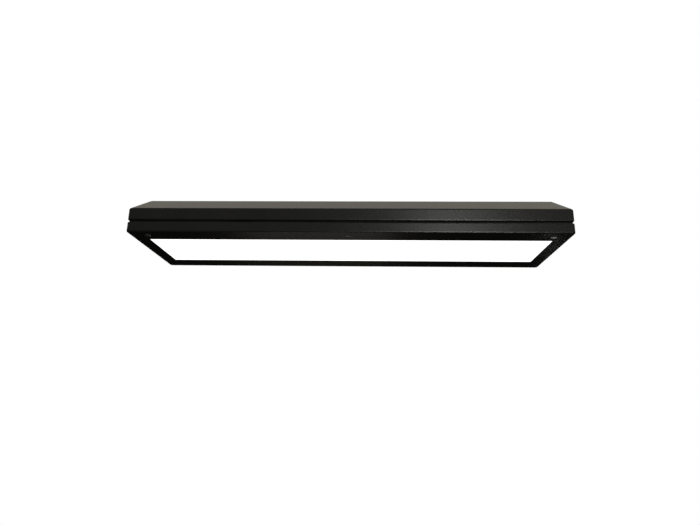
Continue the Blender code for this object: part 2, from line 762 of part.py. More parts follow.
def make_driver_feeds():
    """From the block to each driver; the right one runs beside the left driver."""
    block_out = BLOCK_X + BLOCK_SIZE[0] / 2 - BLOCK_INSERTION
    left_in = -DRIVER_X - DRIVER_LENGTH / 2 - TOUCH
    right_in = DRIVER_X - DRIVER_LENGTH / 2 - TOUCH
    _, left_y, right_y = BLOCK_OUTLET_YS
    near, far = CABLE_END_KNOTS
    left = [
        (block_out, left_y, BLOCK_ENTRY),
        (block_out + near, left_y, BLOCK_ENTRY),
        (left_in - far, 0.0, DRIVER_PORT - 1 * MM),
        (left_in - near, 0.0, DRIVER_PORT),
        (left_in, 0.0, DRIVER_PORT),
    ]
    cable("driver_feed_left", left, CABLE_RADIUS)
    lane_y = DRIVER_WIDTH / 2 + 10 * MM
    low = TRAY_TOP + 2 * CABLE_RADIUS
    right = [
        (block_out, right_y, BLOCK_ENTRY),
        (block_out + near, right_y, BLOCK_ENTRY),
        (block_out + far, right_y + 2 * MM, BLOCK_ENTRY - 1 * MM),
        (left_in - near, lane_y, low),
        (-DRIVER_X, lane_y, low),
        (right_in - 80 * MM, lane_y, low),
        (right_in - far, 3 * MM, DRIVER_PORT),
        (right_in - near, 0.0, DRIVER_PORT),
        (right_in, 0.0, DRIVER_PORT),
    ]
    cable("driver_feed_right", right, CABLE_RADIUS)


def make_driver_leads():
    """From each driver down through the tray, then soldered under two of the strips."""
    near, far = CABLE_END_KNOTS
    for name, x in (("left", -DRIVER_X), ("right", DRIVER_X)):
        exit_x, exit_y = LEAD_EXITS[name]
        start = x + DRIVER_LENGTH / 2 + TOUCH
        solder = STRIP_HEIGHT - TOUCH - CORE_RADIUS
        route = [
            (start, 0.0, DRIVER_PORT),
            (start + near, 0.0, DRIVER_PORT),
            (start + far, 0.1 * exit_y, DRIVER_PORT),
            (exit_x, 0.75 * exit_y, DRIVER_PORT - 2 * MM),
            (exit_x, exit_y, TRAY_TOP + 6 * MM),
            (exit_x, exit_y, TRAY_BASE_HEIGHT),
            (exit_x, exit_y, solder - 2 * MM),
        ]
        reach = STRIP_PITCH / 2 - STRIP_WIDTH / 2 + SOLDER_REACH
        cross = [(exit_x, exit_y - reach, solder), (exit_x, exit_y + reach, solder)]
        cable(f"driver_lead_{name}", route, CABLE_RADIUS, [(cross, CORE_RADIUS)])


def make_earth():
    """The earth wire's ring terminal, and the screw that holds it to the tray."""
    ring_base = TRAY_TOP + TOUCH
    ring_top = ring_base + RING_THICKNESS
    block_out = BLOCK_X + BLOCK_SIZE[0] / 2 - BLOCK_INSERTION
    wire_height = ring_base + CORE_RADIUS
    route = [
        (block_out, BLOCK_OUTLET_YS[0], BLOCK_ENTRY),
        (block_out + 5 * MM, BLOCK_OUTLET_YS[0], BLOCK_ENTRY),
        (block_out + 9 * MM, BLOCK_OUTLET_YS[0] - 4 * MM, BLOCK_ENTRY - 1 * MM),
        (EARTH_X - 12 * MM, EARTH_Y, wire_height),
        (EARTH_X - 4.2 * MM, EARTH_Y, wire_height),
    ]
    wire = cable("earth_wire", route, CORE_RADIUS)
    bm = bmesh.new()
    middle = (ring_base + ring_top) / 2
    add_rod(bm, RING_RADIUS, RING_THICKNESS, at(EARTH_X, EARTH_Y, middle), RING_SIDES)
    join(wire, bm, "earth_terminal")
    drill(wire, "earth_terminal_hole", [at(EARTH_X, EARTH_Y, ring_top)], length=4 * MM)
    pan_head_screws("earth_screw", [at(EARTH_X, EARTH_Y, ring_top + TOUCH)], SHORT_GRIP)


# ---------------------------------------------------------------- keepers and hinges


def make_keepers():
    """C-shaped catches welded under the front lip, one above each latch's reach."""
    t = KEEPER_SHEET
    outer, inner = LATCH_Y - KEEPER_OUTER, LATCH_Y - KEEPER_INNER
    top = LIP_HEIGHT - TOUCH
    outline = [
        (inner, top),
        (outer, top),
        (outer, KEEPER_HEIGHT),
        (inner, KEEPER_HEIGHT),
        (inner, KEEPER_HEIGHT + t),
        (outer + t, KEEPER_HEIGHT + t),
        (outer + t, top - t),
        (inner, top - t),
    ]
    for name, x in LATCH_XS.items():
        low, high = x - KEEPER_HALF_WIDTH, x + KEEPER_HALF_WIDTH
        prism(f"keeper_{name}", [outline], low, high, "X", ZINC)


def leaf_outline(way):
    """Plate and barrel in one outline; way is 1 for the leaf above the axis, -1 below."""
    inner = HALF_DEPTH + TOUCH
    outer = inner + LEAF_SHEET
    start = math.pi
    finish = 2 * math.pi + math.acos((outer - HINGE_Y) / BARREL_RADIUS)
    points = [(outer, LEAF_REACH), (inner, LEAF_REACH)]
    for i in range(BARREL_STEPS + 1):
        angle = start + (finish - start) * i / BARREL_STEPS
        y = HINGE_Y + BARREL_RADIUS * math.cos(angle)
        points.append((y, BARREL_RADIUS * math.sin(angle)))
    return [(y, HINGE_HEIGHT + way * rise) for y, rise in points]


def add_barrel_gap(bm, low, high):
    """A box round the barrel, where the other leaf's knuckle turns."""
    reach = BARREL_RADIUS + 2 * TOUCH
    near, far = HINGE_Y - reach, HINGE_Y + reach
    add_box(bm, (low, near, HINGE_HEIGHT - reach), (high, far, HINGE_HEIGHT + reach))


def make_leaf(name, x, way, gaps, pivot):
    low, high = x - LEAF_WIDTH / 2, x + LEAF_WIDTH / 2
    leaf = prism(name, [leaf_outline(way)], low, high, "X", BLACK_PAINT, pivot)
    bore = at(x, HINGE_Y, HINGE_HEIGHT, ALONG_X)
    drill(leaf, f"{name}_bore", [bore], bore_for(PIN_RADIUS), 1.2 * LEAF_WIDTH, SHAFT_SIDES)
    bm = bmesh.new()
    for gap_low, gap_high in gaps:
        add_barrel_gap(bm, x + gap_low, x + gap_high)
    cut(leaf, bm, f"{name}_gaps")


def make_hinges():
    """Two leaves and a pin each; the door's leaf has the middle knuckle."""
    half, knuckle = LEAF_WIDTH / 2, KNUCKLE_HALF
    past, shy = knuckle + TOUCH / 2, knuckle - TOUCH / 2
    end = half + 1 * MM
    for name, x in HINGE_XS.items():
        make_leaf(f"hinge_body_leaf_{name}", x, 1, [(-past, past)], None)
        make_leaf(f"hinge_door_leaf_{name}", x, -1, [(-end, -shy), (shy, end)], DOOR_AXIS)
        profile = [
            (0.0, half),
            (PIN_RADIUS - PIN_CHAMFER, half),
            (PIN_RADIUS, half - PIN_CHAMFER),
            (PIN_RADIUS, PIN_CHAMFER - half),
            (PIN_RADIUS - PIN_CHAMFER, -half),
            (0.0, -half),
        ]
        axis = at(x, HINGE_Y, HINGE_HEIGHT, ALONG_X)
        turned(f"hinge_pin_{name}", profile, SHAFT_SIDES, axis, ZINC)


# ---------------------------------------------------------------- door


def stud_places():
    """(x, y) of the weld studs round the diffuser."""
    x, y = OPENING_X + STUD_OFFSET, OPENING_Y + STUD_OFFSET
    long_sides = [(along, side * y) for along in STUD_XS for side in (-1, 1)]
    return long_sides + [(side * x, along) for side in (-1, 1) for along in STUD_YS]


def make_door_frame():
    """Rim, side walls and flat bezel, folded from one sheet."""
    rim_x, rim_y = HALF_LENGTH - DOOR_RIM_WIDTH, HALF_DEPTH - DOOR_RIM_WIDTH
    rings = [
        (rim_x, rim_y, CORNER_RADIUS / 2, DOOR_HEIGHT),
        (HALF_LENGTH, HALF_DEPTH, CORNER_RADIUS, DOOR_HEIGHT),
        (HALF_LENGTH, HALF_DEPTH, CORNER_RADIUS, 0.0),
        (OPENING_X, OPENING_Y, OPENING_CORNER, 0.0),
    ]
    door = sheet_metal("door_frame", rings, False, SHEET, DOOR_FOLD, BLACK_PAINT, DOOR_AXIS)
    bm = bmesh.new()
    middle = SHEET / 2 + STUD_LENGTH / 2
    for x, y in stud_places():
        add_rod(bm, STUD_RADIUS, STUD_LENGTH, at(x, y, middle), SCREW_SIDES)
    join(door, bm, "door_studs")
    holes = [at(x, LATCH_Y, 0.0) for x in LATCH_XS.values()]
    hole_radius = LATCH_BODY_RADIUS + TOUCH
    drill(door, "door_latch_holes", holes, radius=hole_radius, sides=LARGE_HOLE_SIDES)


def make_diffuser():
    half_x, half_y = OPENING_X + DIFFUSER_OVERLAP, OPENING_Y + DIFFUSER_OVERLAP
    base = SHEET + TOUCH
    low, high = (-half_x, -half_y, base), (half_x, half_y, base + DIFFUSER_THICKNESS)
    box("diffuser", low, high, OPAL, DOOR_AXIS)


def make_retainers():
    """Z sections whose feet fit over the studs and whose legs hold the diffuser's edge."""
    t, base = SHEET, SHEET + TOUCH
    seat = base + DIFFUSER_THICKNESS + TOUCH
    foot, edge, leg = RETAINER_FOOT, RETAINER_EDGE, RETAINER_LEG
    profile = [
        (foot, base),
        (edge, base),
        (edge, seat),
        (leg, seat),
        (leg, seat + t),
        (edge + t, seat + t),
        (edge + t, base + t),
        (foot, base + t),
    ]
    half_x, half_y = OPENING_X + RETAINER_ENDS[0], OPENING_Y + RETAINER_ENDS[1]
    sides = (
        ("front", -1, OPENING_Y, half_x, "X"),
        ("rear", 1, OPENING_Y, half_x, "X"),
        ("left", -1, OPENING_X, half_y, "Y"),
        ("right", 1, OPENING_X, half_y, "Y"),
    )
    holes = [at(x, y, base) for x, y in stud_places()]
    for name, side, opening, half, axis in sides:
        outline = [(side * (opening + out), height) for out, height in profile]
        label = f"diffuser_retainer_{name}"
        retainer = prism(label, [outline], -half, half, axis, ZINC, DOOR_AXIS)
        drill(retainer, f"{label}_holes", holes)


def make_gasket():
    """A foam ring on the door's rim, set back from the faces, which darkens the groove."""
    outlines = []
    for inset in GASKET_INSETS:
        outlines.append(rounded_outline(HALF_LENGTH - inset, HALF_DEPTH - inset, GASKET_CORNER))
    low, high = DOOR_HEIGHT + TOUCH, LIP_HEIGHT - TOUCH
    prism("door_gasket", outlines, low, high, "Z", FOAM, DOOR_AXIS)


def bush_profile():
    """Flange under the door, body through it, bore for the stem and a well for its head."""
    well, bore = bore_for(LATCH_HEAD_RADIUS), bore_for(STEM_RADIUS)
    ledge = LATCH_HEAD_TOP + TOUCH
    return [
        (LATCH_BODY_RADIUS, LATCH_BODY_TOP),
        (LATCH_BODY_RADIUS, -TOUCH),
        (LATCH_FLANGE_RADIUS, -TOUCH),
        (LATCH_FLANGE_RADIUS, -LATCH_FLANGE),
        (well, -LATCH_FLANGE),
        (well, ledge),
        (bore, ledge),
        (bore, LATCH_BODY_TOP),
    ]


def stem_profile():
    """Flat head, set back a little in the bush's flange, and the stem above it."""
    return [
        (0.0, STEM_TOP),
        (STEM_RADIUS, STEM_TOP),
        (STEM_RADIUS, LATCH_HEAD_TOP),
        (LATCH_HEAD_RADIUS, LATCH_HEAD_TOP),
        (LATCH_HEAD_RADIUS, LATCH_HEAD_BASE),
        (0.0, LATCH_HEAD_BASE),
    ]


def pawl_outlines(x):
    """A bar with a round heel and a hole; released, it points along +X, clear of the keeper."""
    half = PAWL_HALF_WIDTH
    bar = [(x + PAWL_REACH, LATCH_Y - half), (x + PAWL_REACH, LATCH_Y + half)]
    for i in range(PAWL_HEEL_STEPS + 1):
        angle = math.pi / 2 + math.pi * i / PAWL_HEEL_STEPS
        bar.append((x + half * math.cos(angle), LATCH_Y + half * math.sin(angle)))
    radius = STEM_RADIUS + TOUCH
    hole = []
    for i in range(SHAFT_SIDES):
        angle = 2 * math.pi * i / SHAFT_SIDES
        hole.append((x + radius * math.cos(angle), LATCH_Y + radius * math.sin(angle)))
    return [bar, hole]


def make_latches():
    """Per latch a bush in the door, and a slotted stem that turns in it with its pawl."""
    for name, x in LATCH_XS.items():
        pivot = LATCH_AXES[name]
        matrix = at(x, LATCH_Y, 0.0)
        turned(f"latch_bush_{name}", bush_profile(), SHAFT_SIDES, matrix, CHROME, DOOR_AXIS)
        stem_name = f"latch_stem_{name}"
        stem = turned(stem_name, stem_profile(), SHAFT_SIDES, matrix, CHROME, pivot)
        bm = bmesh.new()
        half_x, half_y = LATCH_SLOT
        low = (x - half_x, LATCH_Y - half_y, -2 * LATCH_FLANGE)
        slot_floor = LATCH_HEAD_BASE + LATCH_SLOT_DEPTH
        add_box(bm, low, (x + half_x, LATCH_Y + half_y, slot_floor))
        cut(stem, bm, f"{stem_name}_slot")
        low, high = PAWL_HEIGHT, PAWL_HEIGHT + PAWL_THICKNESS
        prism(f"latch_pawl_{name}", pawl_outlines(x), low, high, "Z", ZINC, pivot)


make_housing()
make_rail()
make_safety_eye()
make_inlet()
make_tray()
make_led_strips()
make_drivers()
make_terminal_block()
make_inlet_cable()
make_driver_feeds()
make_driver_leads()
make_earth()
make_keepers()
make_hinges()
make_door_frame()
make_diffuser()
make_retainers()
make_gasket()
make_latches()
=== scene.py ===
"""Looks of the LED strip batten.

Every CAD node is replaced by a finer piece in the same place. Sizes are in metres in the CAD's own
frame: +X along the batten, -Y the front, +Z up.
"""

import json
import math

import bmesh
import bpy
from mathutils import Matrix, Vector

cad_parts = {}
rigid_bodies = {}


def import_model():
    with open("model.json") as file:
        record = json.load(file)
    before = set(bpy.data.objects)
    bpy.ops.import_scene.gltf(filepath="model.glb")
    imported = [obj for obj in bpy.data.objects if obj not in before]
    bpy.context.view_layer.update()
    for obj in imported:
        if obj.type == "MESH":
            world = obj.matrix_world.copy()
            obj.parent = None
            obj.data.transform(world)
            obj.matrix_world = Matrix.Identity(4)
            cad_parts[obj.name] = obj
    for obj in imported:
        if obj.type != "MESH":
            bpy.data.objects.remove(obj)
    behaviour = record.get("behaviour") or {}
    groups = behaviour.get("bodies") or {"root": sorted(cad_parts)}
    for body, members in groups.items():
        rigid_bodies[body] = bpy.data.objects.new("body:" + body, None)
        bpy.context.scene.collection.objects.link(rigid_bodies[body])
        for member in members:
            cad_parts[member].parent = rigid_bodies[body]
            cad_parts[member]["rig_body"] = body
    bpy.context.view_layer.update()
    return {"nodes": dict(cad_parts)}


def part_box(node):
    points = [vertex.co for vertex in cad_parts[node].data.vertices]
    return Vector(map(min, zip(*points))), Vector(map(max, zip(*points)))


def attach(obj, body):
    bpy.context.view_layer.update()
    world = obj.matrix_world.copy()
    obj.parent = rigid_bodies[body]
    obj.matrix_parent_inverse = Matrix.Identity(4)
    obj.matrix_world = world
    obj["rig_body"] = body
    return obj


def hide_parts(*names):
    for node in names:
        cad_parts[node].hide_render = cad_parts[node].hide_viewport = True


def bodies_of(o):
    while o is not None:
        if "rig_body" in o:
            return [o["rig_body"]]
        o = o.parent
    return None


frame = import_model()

MM = 0.001
HOUSING = "housing"
DOOR = "door"
SIDES = ("left", "centre", "right")
ENDS = ("left", "right")
NUMBERS = (1, 2, 3, 4)

SHELL_LOW, SHELL_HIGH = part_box("housing_shell")
DOOR_LOW, DOOR_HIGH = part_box("door_frame")
TRAY_LOW, TRAY_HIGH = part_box("gear_tray")

HALF_LENGTH = DOOR_HIGH.x
HALF_DEPTH = DOOR_HIGH.y
BOTTOM = DOOR_LOW.z

# Sheet sizes of the housing, the door and the tray.
SHEET = 1.2 * MM
TRAY_SHEET = 1.0 * MM
CORNER_RADIUS = 8 * MM
HOUSING_FOLD = 3 * MM
DOOR_FOLD = 3.5 * MM
TRAY_FOLD = 2.5 * MM
LIP_WIDTH = 24 * MM
BAND_HEIGHT = 33 * MM
SHOULDER_INSET = 40 * MM
DOOR_RIM_WIDTH = 12 * MM
BEZEL_FRONT = 68 * MM
BEZEL_SIDE = 40 * MM
OPENING_X = HALF_LENGTH - BEZEL_SIDE
OPENING_Y = HALF_DEPTH - BEZEL_FRONT
TRAY_FLANGE = 18 * MM
TRAY_WING = 32 * MM

# Spot welds on the hinge leaves.
HINGE_LEAF_SHEET = 1.5 * MM
WELD_RADIUS = 2.2 * MM
WELD_DEPTH = 0.25 * MM
WELD_INSET = 10 * MM
WELD_PITCH = 7 * MM

# Fasteners.
SCREW_RADIUS = 2.0 * MM
SCREW_HEAD_RADIUS = 3.8 * MM
SCREW_HEAD_HEIGHT = 2.4 * MM
SCREW_GRIP = 6 * MM
RAIL_SCREW_GRIP = 9 * MM
SCREW_SPIN = 0.7
STUD_THREAD_PITCH = 0.7 * MM
STUD_TOP = 9.6 * MM

# Clearance holes.
SCREW_HOLE_RADIUS = 2.4 * MM
LEAD_HOLE_RADIUS = 3.5 * MM
LATCH_HOLE_RADIUS = 7.8 * MM

UPRIGHT = Matrix.Identity(4)
HEAD_DOWN = Matrix.Rotation(math.pi, 4, "X")
ALONG_X = Matrix.Rotation(math.pi / 2, 4, "Y")


# ---------------------------------------------------------------- camera, light and stage

# Where the camera stands, from the middle of the door's lower front edge.
CAMERA_RIGHT = 0.0617
CAMERA_BACK = 1.3703
CAMERA_BELOW = 0.4653
CAMERA_PITCH = math.radians(15.561)
CAMERA_YAW = math.radians(-2.239)
CAMERA_ROLL = math.radians(0.956)
CAMERA_LENS = 27.98
SENSOR_WIDTH = 36.0


def add_camera():
    """Looks up at the batten from in front of it."""
    yaw, pitch, roll = CAMERA_YAW, CAMERA_PITCH, CAMERA_ROLL
    right = Vector((math.cos(yaw), -math.sin(yaw), 0.0))
    ahead = Vector((math.sin(yaw), math.cos(yaw), 0.0))
    forward = math.cos(pitch) * ahead + math.sin(pitch) * Vector((0.0, 0.0, 1.0))
    up = right.cross(forward)
    across = math.cos(roll) * right + math.sin(roll) * up
    above = math.cos(roll) * up - math.sin(roll) * right
    turn = Matrix((across, above, -forward)).transposed().to_4x4()
    place = Vector((CAMERA_RIGHT, DOOR_LOW.y - CAMERA_BACK, BOTTOM - CAMERA_BELOW))
    data = bpy.data.cameras.new("camera")
    data.lens = CAMERA_LENS
    data.sensor_width = SENSOR_WIDTH
    camera = bpy.data.objects.new("camera", data)
    camera.matrix_world = Matrix.Translation(place) @ turn
    bpy.context.scene.collection.objects.link(camera)
    bpy.context.scene.camera = camera


def add_softbox(name, place, size, brightness, colour):
    """A rectangular light that faces the batten; its surface has the given brightness."""
    data = bpy.data.lights.new(name, "AREA")
    data.shape = "RECTANGLE"
    data.size, data.size_y = size
    data.energy = brightness * math.pi * size[0] * size[1]
    data.color = colour
    lamp = bpy.data.objects.new(name, data)
    lamp.location = place
    lamp.rotation_euler = (-Vector(place)).to_track_quat("-Z", "Y").to_euler()
    lamp.visible_camera = False
    bpy.context.scene.collection.objects.link(lamp)


# Strength of the light from all round, from straight below (0) over level (0.5) to straight up (1).
AMBIENT_PROFILE = ((0.0, 0.06), (0.08, 0.06), (0.2, 0.005), (0.45, 0.005), (0.7, 0.2))


def add_ambient(nodes, links):
    """The light from all round, whose strength goes by its height."""
    ambient = nodes.new("ShaderNodeBackground")
    ambient.inputs["Color"].default_value = (1.0, 0.98, 0.94, 1.0)
    direction = nodes.new("ShaderNodeTexCoord")
    split = nodes.new("ShaderNodeSeparateXYZ")
    height = add_range(nodes, 0.0, 1.0, from_low=-1.0)
    profile = nodes.new("ShaderNodeValToRGB")
    set_stops(profile, [(position, [strength] * 3) for position, strength in AMBIENT_PROFILE])
    links.new(direction.outputs["Generated"], split.inputs["Vector"])
    links.new(split.outputs["Z"], height.inputs["Value"])
    links.new(height.outputs["Result"], profile.inputs["Fac"])
    links.new(profile.outputs["Color"], ambient.inputs["Strength"])
    return ambient


def add_world():
    """A white backdrop. The light it gives comes mostly from above, and a little from right below."""
    world = bpy.data.worlds.new("studio")
    world.use_nodes = True
    nodes, links = world.node_tree.nodes, world.node_tree.links
    backdrop = nodes["Background"]
    backdrop.inputs["Color"].default_value = (1.0, 1.0, 1.0, 1.0)
    backdrop.inputs["Strength"].default_value = 1.0
    ambient = add_ambient(nodes, links)
    path = nodes.new("ShaderNodeLightPath")
    mix = nodes.new("ShaderNodeMixShader")
    links.new(path.outputs["Is Camera Ray"], mix.inputs["Fac"])
    links.new(ambient.outputs["Background"], mix.inputs[1])
    links.new(backdrop.outputs["Background"], mix.inputs[2])
    links.new(mix.outputs["Shader"], nodes["World Output"].inputs["Surface"])
    bpy.context.scene.world = world


FLOOR_RADIUS = 8.0
FLOOR_FADE_START = 3.2
FLOOR_DROP = 2.6
FLOOR_GLOW = 0.42


def pale_floor():
    """A pale finish with a glow of its own, which fades out towards the floor's edge."""
    material, shader = new_material("pale_floor", (0.8, 0.79, 0.77), 0.7)
    vary_colour(material, shader, 3, (0.77, 0.76, 0.745), (0.81, 0.8, 0.785))
    add_bump(material, shader, scale=40, distance=0.3 * MM)
    shader.inputs["Emission Color"].default_value = (1.0, 0.985, 0.96, 1.0)
    shader.inputs["Emission Strength"].default_value = FLOOR_GLOW
    nodes, links = material.node_tree.nodes, material.node_tree.links
    place = nodes.new("ShaderNodeTexCoord")
    distance = nodes.new("ShaderNodeVectorMath")
    distance.operation = "LENGTH"
    fade = add_range(nodes, 1.0, 0.0, FLOOR_FADE_START, FLOOR_RADIUS)
    fade.interpolation_type = "SMOOTHSTEP"
    links.new(place.outputs["Object"], distance.inputs[0])
    links.new(distance.outputs["Value"], fade.inputs["Value"])
    links.new(fade.outputs["Result"], shader.inputs["Alpha"])
    return material


def add_floor():
    """A floor well below the batten, which gives no light back."""
    bm = bmesh.new()
    bmesh.ops.create_circle(bm, cap_ends=True, segments=96, radius=FLOOR_RADIUS)
    mesh = bpy.data.meshes.new("floor")
    bm.to_mesh(mesh)
    bm.free()
    floor = bpy.data.objects.new("floor", mesh)
    floor.location = (0.0, 0.0, -FLOOR_DROP)
    floor.visible_diffuse = False
    floor.visible_glossy = False
    mesh.materials.append(pale_floor())
    bpy.context.scene.collection.objects.link(floor)


WARM = (1.0, 0.935, 0.78)
NEUTRAL = (1.0, 1.0, 0.97)
# Name, place, size, brightness and colour of each light.
SOFTBOXES = (
    ("ceiling_light", (0.2, 0.7, 1.6), (5.0, 2.2), 0.68, WARM),
    ("front_light", (0.66, -2.7, 0.6), (0.4, 1.2), 3.2, NEUTRAL),
    ("front_low_light", (0.72, -2.55, -0.95), (0.5, 1.0), 17.0, NEUTRAL),
    ("rear_light", (-0.7, 2.8, 0.7), (0.9, 1.2), 2.4, NEUTRAL),
    ("rear_left_card", (-0.22, 1.2, -1.0), (0.8, 0.5), 0.5, WARM),
    ("rear_right_card", (1.1, 1.45, -0.66), (0.06, 0.04), 1.7, NEUTRAL),
)


def add_lights():
    """Soft light from above and from both long sides, and two cards low behind."""
    for settings in SOFTBOXES:
        add_softbox(*settings)


# ---------------------------------------------------------------- materials


def new_material(name, colour, roughness, metallic=0.0):
    """A material and its shader node."""
    material = bpy.data.materials.new(name)
    material.use_nodes = True
    shader = material.node_tree.nodes["Principled BSDF"]
    shader.inputs["Base Color"].default_value = (*colour, 1.0)
    shader.inputs["Roughness"].default_value = roughness
    shader.inputs["Metallic"].default_value = metallic
    return material, shader


def set_stops(ramp, stops):
    """Gives a colour ramp, which starts with two stops, its (position, colour) stops."""
    elements = ramp.color_ramp.elements
    for i, (position, colour) in enumerate(stops):
        stop = elements[i] if i < 2 else elements.new(position)
        stop.position = position
        stop.color = (*colour, 1.0)


def add_range(nodes, low, high, from_low=0.0, from_high=1.0):
    """A node that maps one range onto another."""
    node = nodes.new("ShaderNodeMapRange")
    node.inputs["From Min"].default_value = from_low
    node.inputs["From Max"].default_value = from_high
    node.inputs["To Min"].default_value = low
    node.inputs["To Max"].default_value = high
    return node


def add_texture(material, kind, scale, detail=2.0):
    """A texture node of that kind, in metres of the object's own space."""
    nodes, links = material.node_tree.nodes, material.node_tree.links
    place = nodes.new("ShaderNodeTexCoord")
    texture = nodes.new(f"ShaderNodeTex{kind}")
    texture.inputs["Scale"].default_value = scale
    if "Detail" in texture.inputs:
        texture.inputs["Detail"].default_value = detail
    links.new(place.outputs["Object"], texture.inputs["Vector"])
    return texture


def add_bump(material, shader, scale, distance, strength=0.5, kind="Noise"):
    """Surface relief of the given depth."""
    nodes, links = material.node_tree.nodes, material.node_tree.links
    texture = add_texture(material, kind, scale)
    bump = nodes.new("ShaderNodeBump")
    bump.inputs["Strength"].default_value = strength
    bump.inputs["Distance"].default_value = distance
    links.new(texture.outputs[0], bump.inputs["Height"])
    links.new(bump.outputs["Normal"], shader.inputs["Normal"])


def vary_colour(material, shader, scale, low, high):
    """The base colour drifts between two colours."""
    nodes, links = material.node_tree.nodes, material.node_tree.links
    texture = add_texture(material, "Noise", scale, detail=4.0)
    ramp = nodes.new("ShaderNodeValToRGB")
    set_stops(ramp, [(0.35, low), (0.65, high)])
    links.new(texture.outputs[0], ramp.inputs["Fac"])
    links.new(ramp.outputs["Color"], shader.inputs["Base Color"])
    return ramp


def vary_roughness(material, shader, scale, low, high):
    """The roughness drifts between two values."""
    nodes, links = material.node_tree.nodes, material.node_tree.links
    texture = add_texture(material, "Noise", scale, detail=5.0)
    spread = add_range(nodes, low, high, 0.3, 0.7)
    links.new(texture.outputs[0], spread.inputs["Value"])
    links.new(spread.outputs["Result"], shader.inputs["Roughness"])


def textured(name, colours, roughness, bump_scale, bump_depth, metallic=0.0, scale=12, kind="Noise"):
    """A finish whose colour and roughness drift and whose surface has a fine relief."""
    material, shader = new_material(name, colours[0], roughness[0], metallic)
    vary_colour(material, shader, scale, *colours)
    vary_roughness(material, shader, 2 * scale, *roughness)
    add_bump(material, shader, bump_scale, bump_depth, kind=kind)
    return material


# The black coat. It turns paler and browner where the surface's normal points up by more than the
# start value. This is partly dust and partly painted light for the lit top.
COAT_BASE = (0.009, 0.009, 0.0085)
COAT_SHADES = ((0.0075, 0.0075, 0.0072), (0.0105, 0.0102, 0.0096))
COAT_ROUGHNESS = (0.26, 0.32)
DUST_AND_TOP_LIGHT_COLOUR = (0.26, 0.23, 0.19, 1.0)
DUST_AND_TOP_LIGHT_START = 0.6
DUST_AND_TOP_LIGHT_MOST = 0.22


def powder_coat():
    """Fine matt black texture coat, paler where it faces up from dust and painted top light."""
    material, shader = new_material("textured_black_coat", COAT_BASE, 0.28)
    nodes, links = material.node_tree.nodes, material.node_tree.links
    ramp = vary_colour(material, shader, 14, *COAT_SHADES)
    vary_roughness(material, shader, 240, *COAT_ROUGHNESS)
    add_bump(material, shader, 1400, 0.06 * MM, strength=0.16)
    # Paler where it faces up: partly dust, partly painted light on the top faces.
    dust_and_top_light_map = add_texture(material, "Noise", 70, detail=6.0)
    facing = nodes.new("ShaderNodeNewGeometry")
    split = nodes.new("ShaderNodeSeparateXYZ")
    upward = add_range(nodes, 0.0, DUST_AND_TOP_LIGHT_MOST, from_low=DUST_AND_TOP_LIGHT_START)
    amount = nodes.new("ShaderNodeMath")
    amount.operation = "MULTIPLY"
    mix = nodes.new("ShaderNodeMix")
    mix.data_type = "RGBA"
    mix.inputs["B"].default_value = DUST_AND_TOP_LIGHT_COLOUR
    links.new(facing.outputs["Normal"], split.inputs["Vector"])
    links.new(split.outputs["Z"], upward.inputs["Value"])
    links.new(upward.outputs["Result"], amount.inputs[0])
    links.new(dust_and_top_light_map.outputs[0], amount.inputs[1])
    links.new(amount.outputs["Value"], mix.inputs["Factor"])
    links.new(ramp.outputs["Color"], mix.inputs["A"])
    links.new(mix.outputs["Result"], shader.inputs["Base Color"])
    return material


def lit_opal():
    """Opal sheet, lit evenly from behind."""
    material, shader = new_material("lit_opal_sheet", (0.93, 0.93, 0.92), 0.4)
    nodes, links = material.node_tree.nodes, material.node_tree.links
    texture = add_texture(material, "Noise", 3, detail=2.0)
    spread = add_range(nodes, 1.25, 1.45)
    shader.inputs["Emission Color"].default_value = (1.0, 1.0, 1.0, 1.0)
    links.new(texture.outputs[0], spread.inputs["Value"])
    links.new(spread.outputs["Result"], shader.inputs["Emission Strength"])
    add_bump(material, shader, 900, 0.05 * MM, strength=0.2)
    return material


def glowing_phosphor():
    """The lit window of an LED package."""
    material, shader = new_material("glowing_phosphor", (0.95, 0.78, 0.25), 0.35)
    vary_colour(material, shader, 1500, (0.95, 0.72, 0.2), (1.0, 0.85, 0.35))
    shader.inputs["Emission Color"].default_value = (1.0, 0.95, 0.84, 1.0)
    shader.inputs["Emission Strength"].default_value = 6.0
    return material


def spangled_zinc():
    """Hot-dip zinc: flat crystals, each with its own shade of grey and its own gloss."""
    material, shader = new_material("galvanised_sheet", (0.56, 0.57, 0.58), 0.4, metallic=1.0)
    nodes, links = material.node_tree.nodes, material.node_tree.links
    crystals = add_texture(material, "Voronoi", 130)
    split = nodes.new("ShaderNodeSeparateColor")
    shade = nodes.new("ShaderNodeValToRGB")
    set_stops(shade, [(0.0, (0.5, 0.51, 0.525)), (1.0, (0.64, 0.645, 0.65))])
    gloss = add_range(nodes, 0.32, 0.5)
    links.new(crystals.outputs["Color"], split.inputs["Color"])
    links.new(split.outputs["Red"], shade.inputs["Fac"])
    links.new(split.outputs["Green"], gloss.inputs["Value"])
    links.new(shade.outputs["Color"], shader.inputs["Base Color"])
    links.new(gloss.outputs["Result"], shader.inputs["Roughness"])
    add_bump(material, shader, 400, 0.02 * MM, strength=0.3)
    return material


def striped_earth():
    """Green sheath with a yellow stripe that winds along it."""
    material, shader = new_material("earth_sheath", (0.1, 0.38, 0.08), 0.4)
    nodes, links = material.node_tree.nodes, material.node_tree.links
    wave = add_texture(material, "Wave", 60)
    wave.bands_direction = "DIAGONAL"
    ramp = nodes.new("ShaderNodeValToRGB")
    ramp.color_ramp.interpolation = "CONSTANT"
    set_stops(ramp, [(0.0, (0.07, 0.33, 0.06)), (0.6, (0.85, 0.7, 0.05))])
    links.new(wave.outputs["Color"], ramp.inputs["Fac"])
    links.new(ramp.outputs["Color"], shader.inputs["Base Color"])
    add_bump(material, shader, 800, 0.03 * MM)
    return material


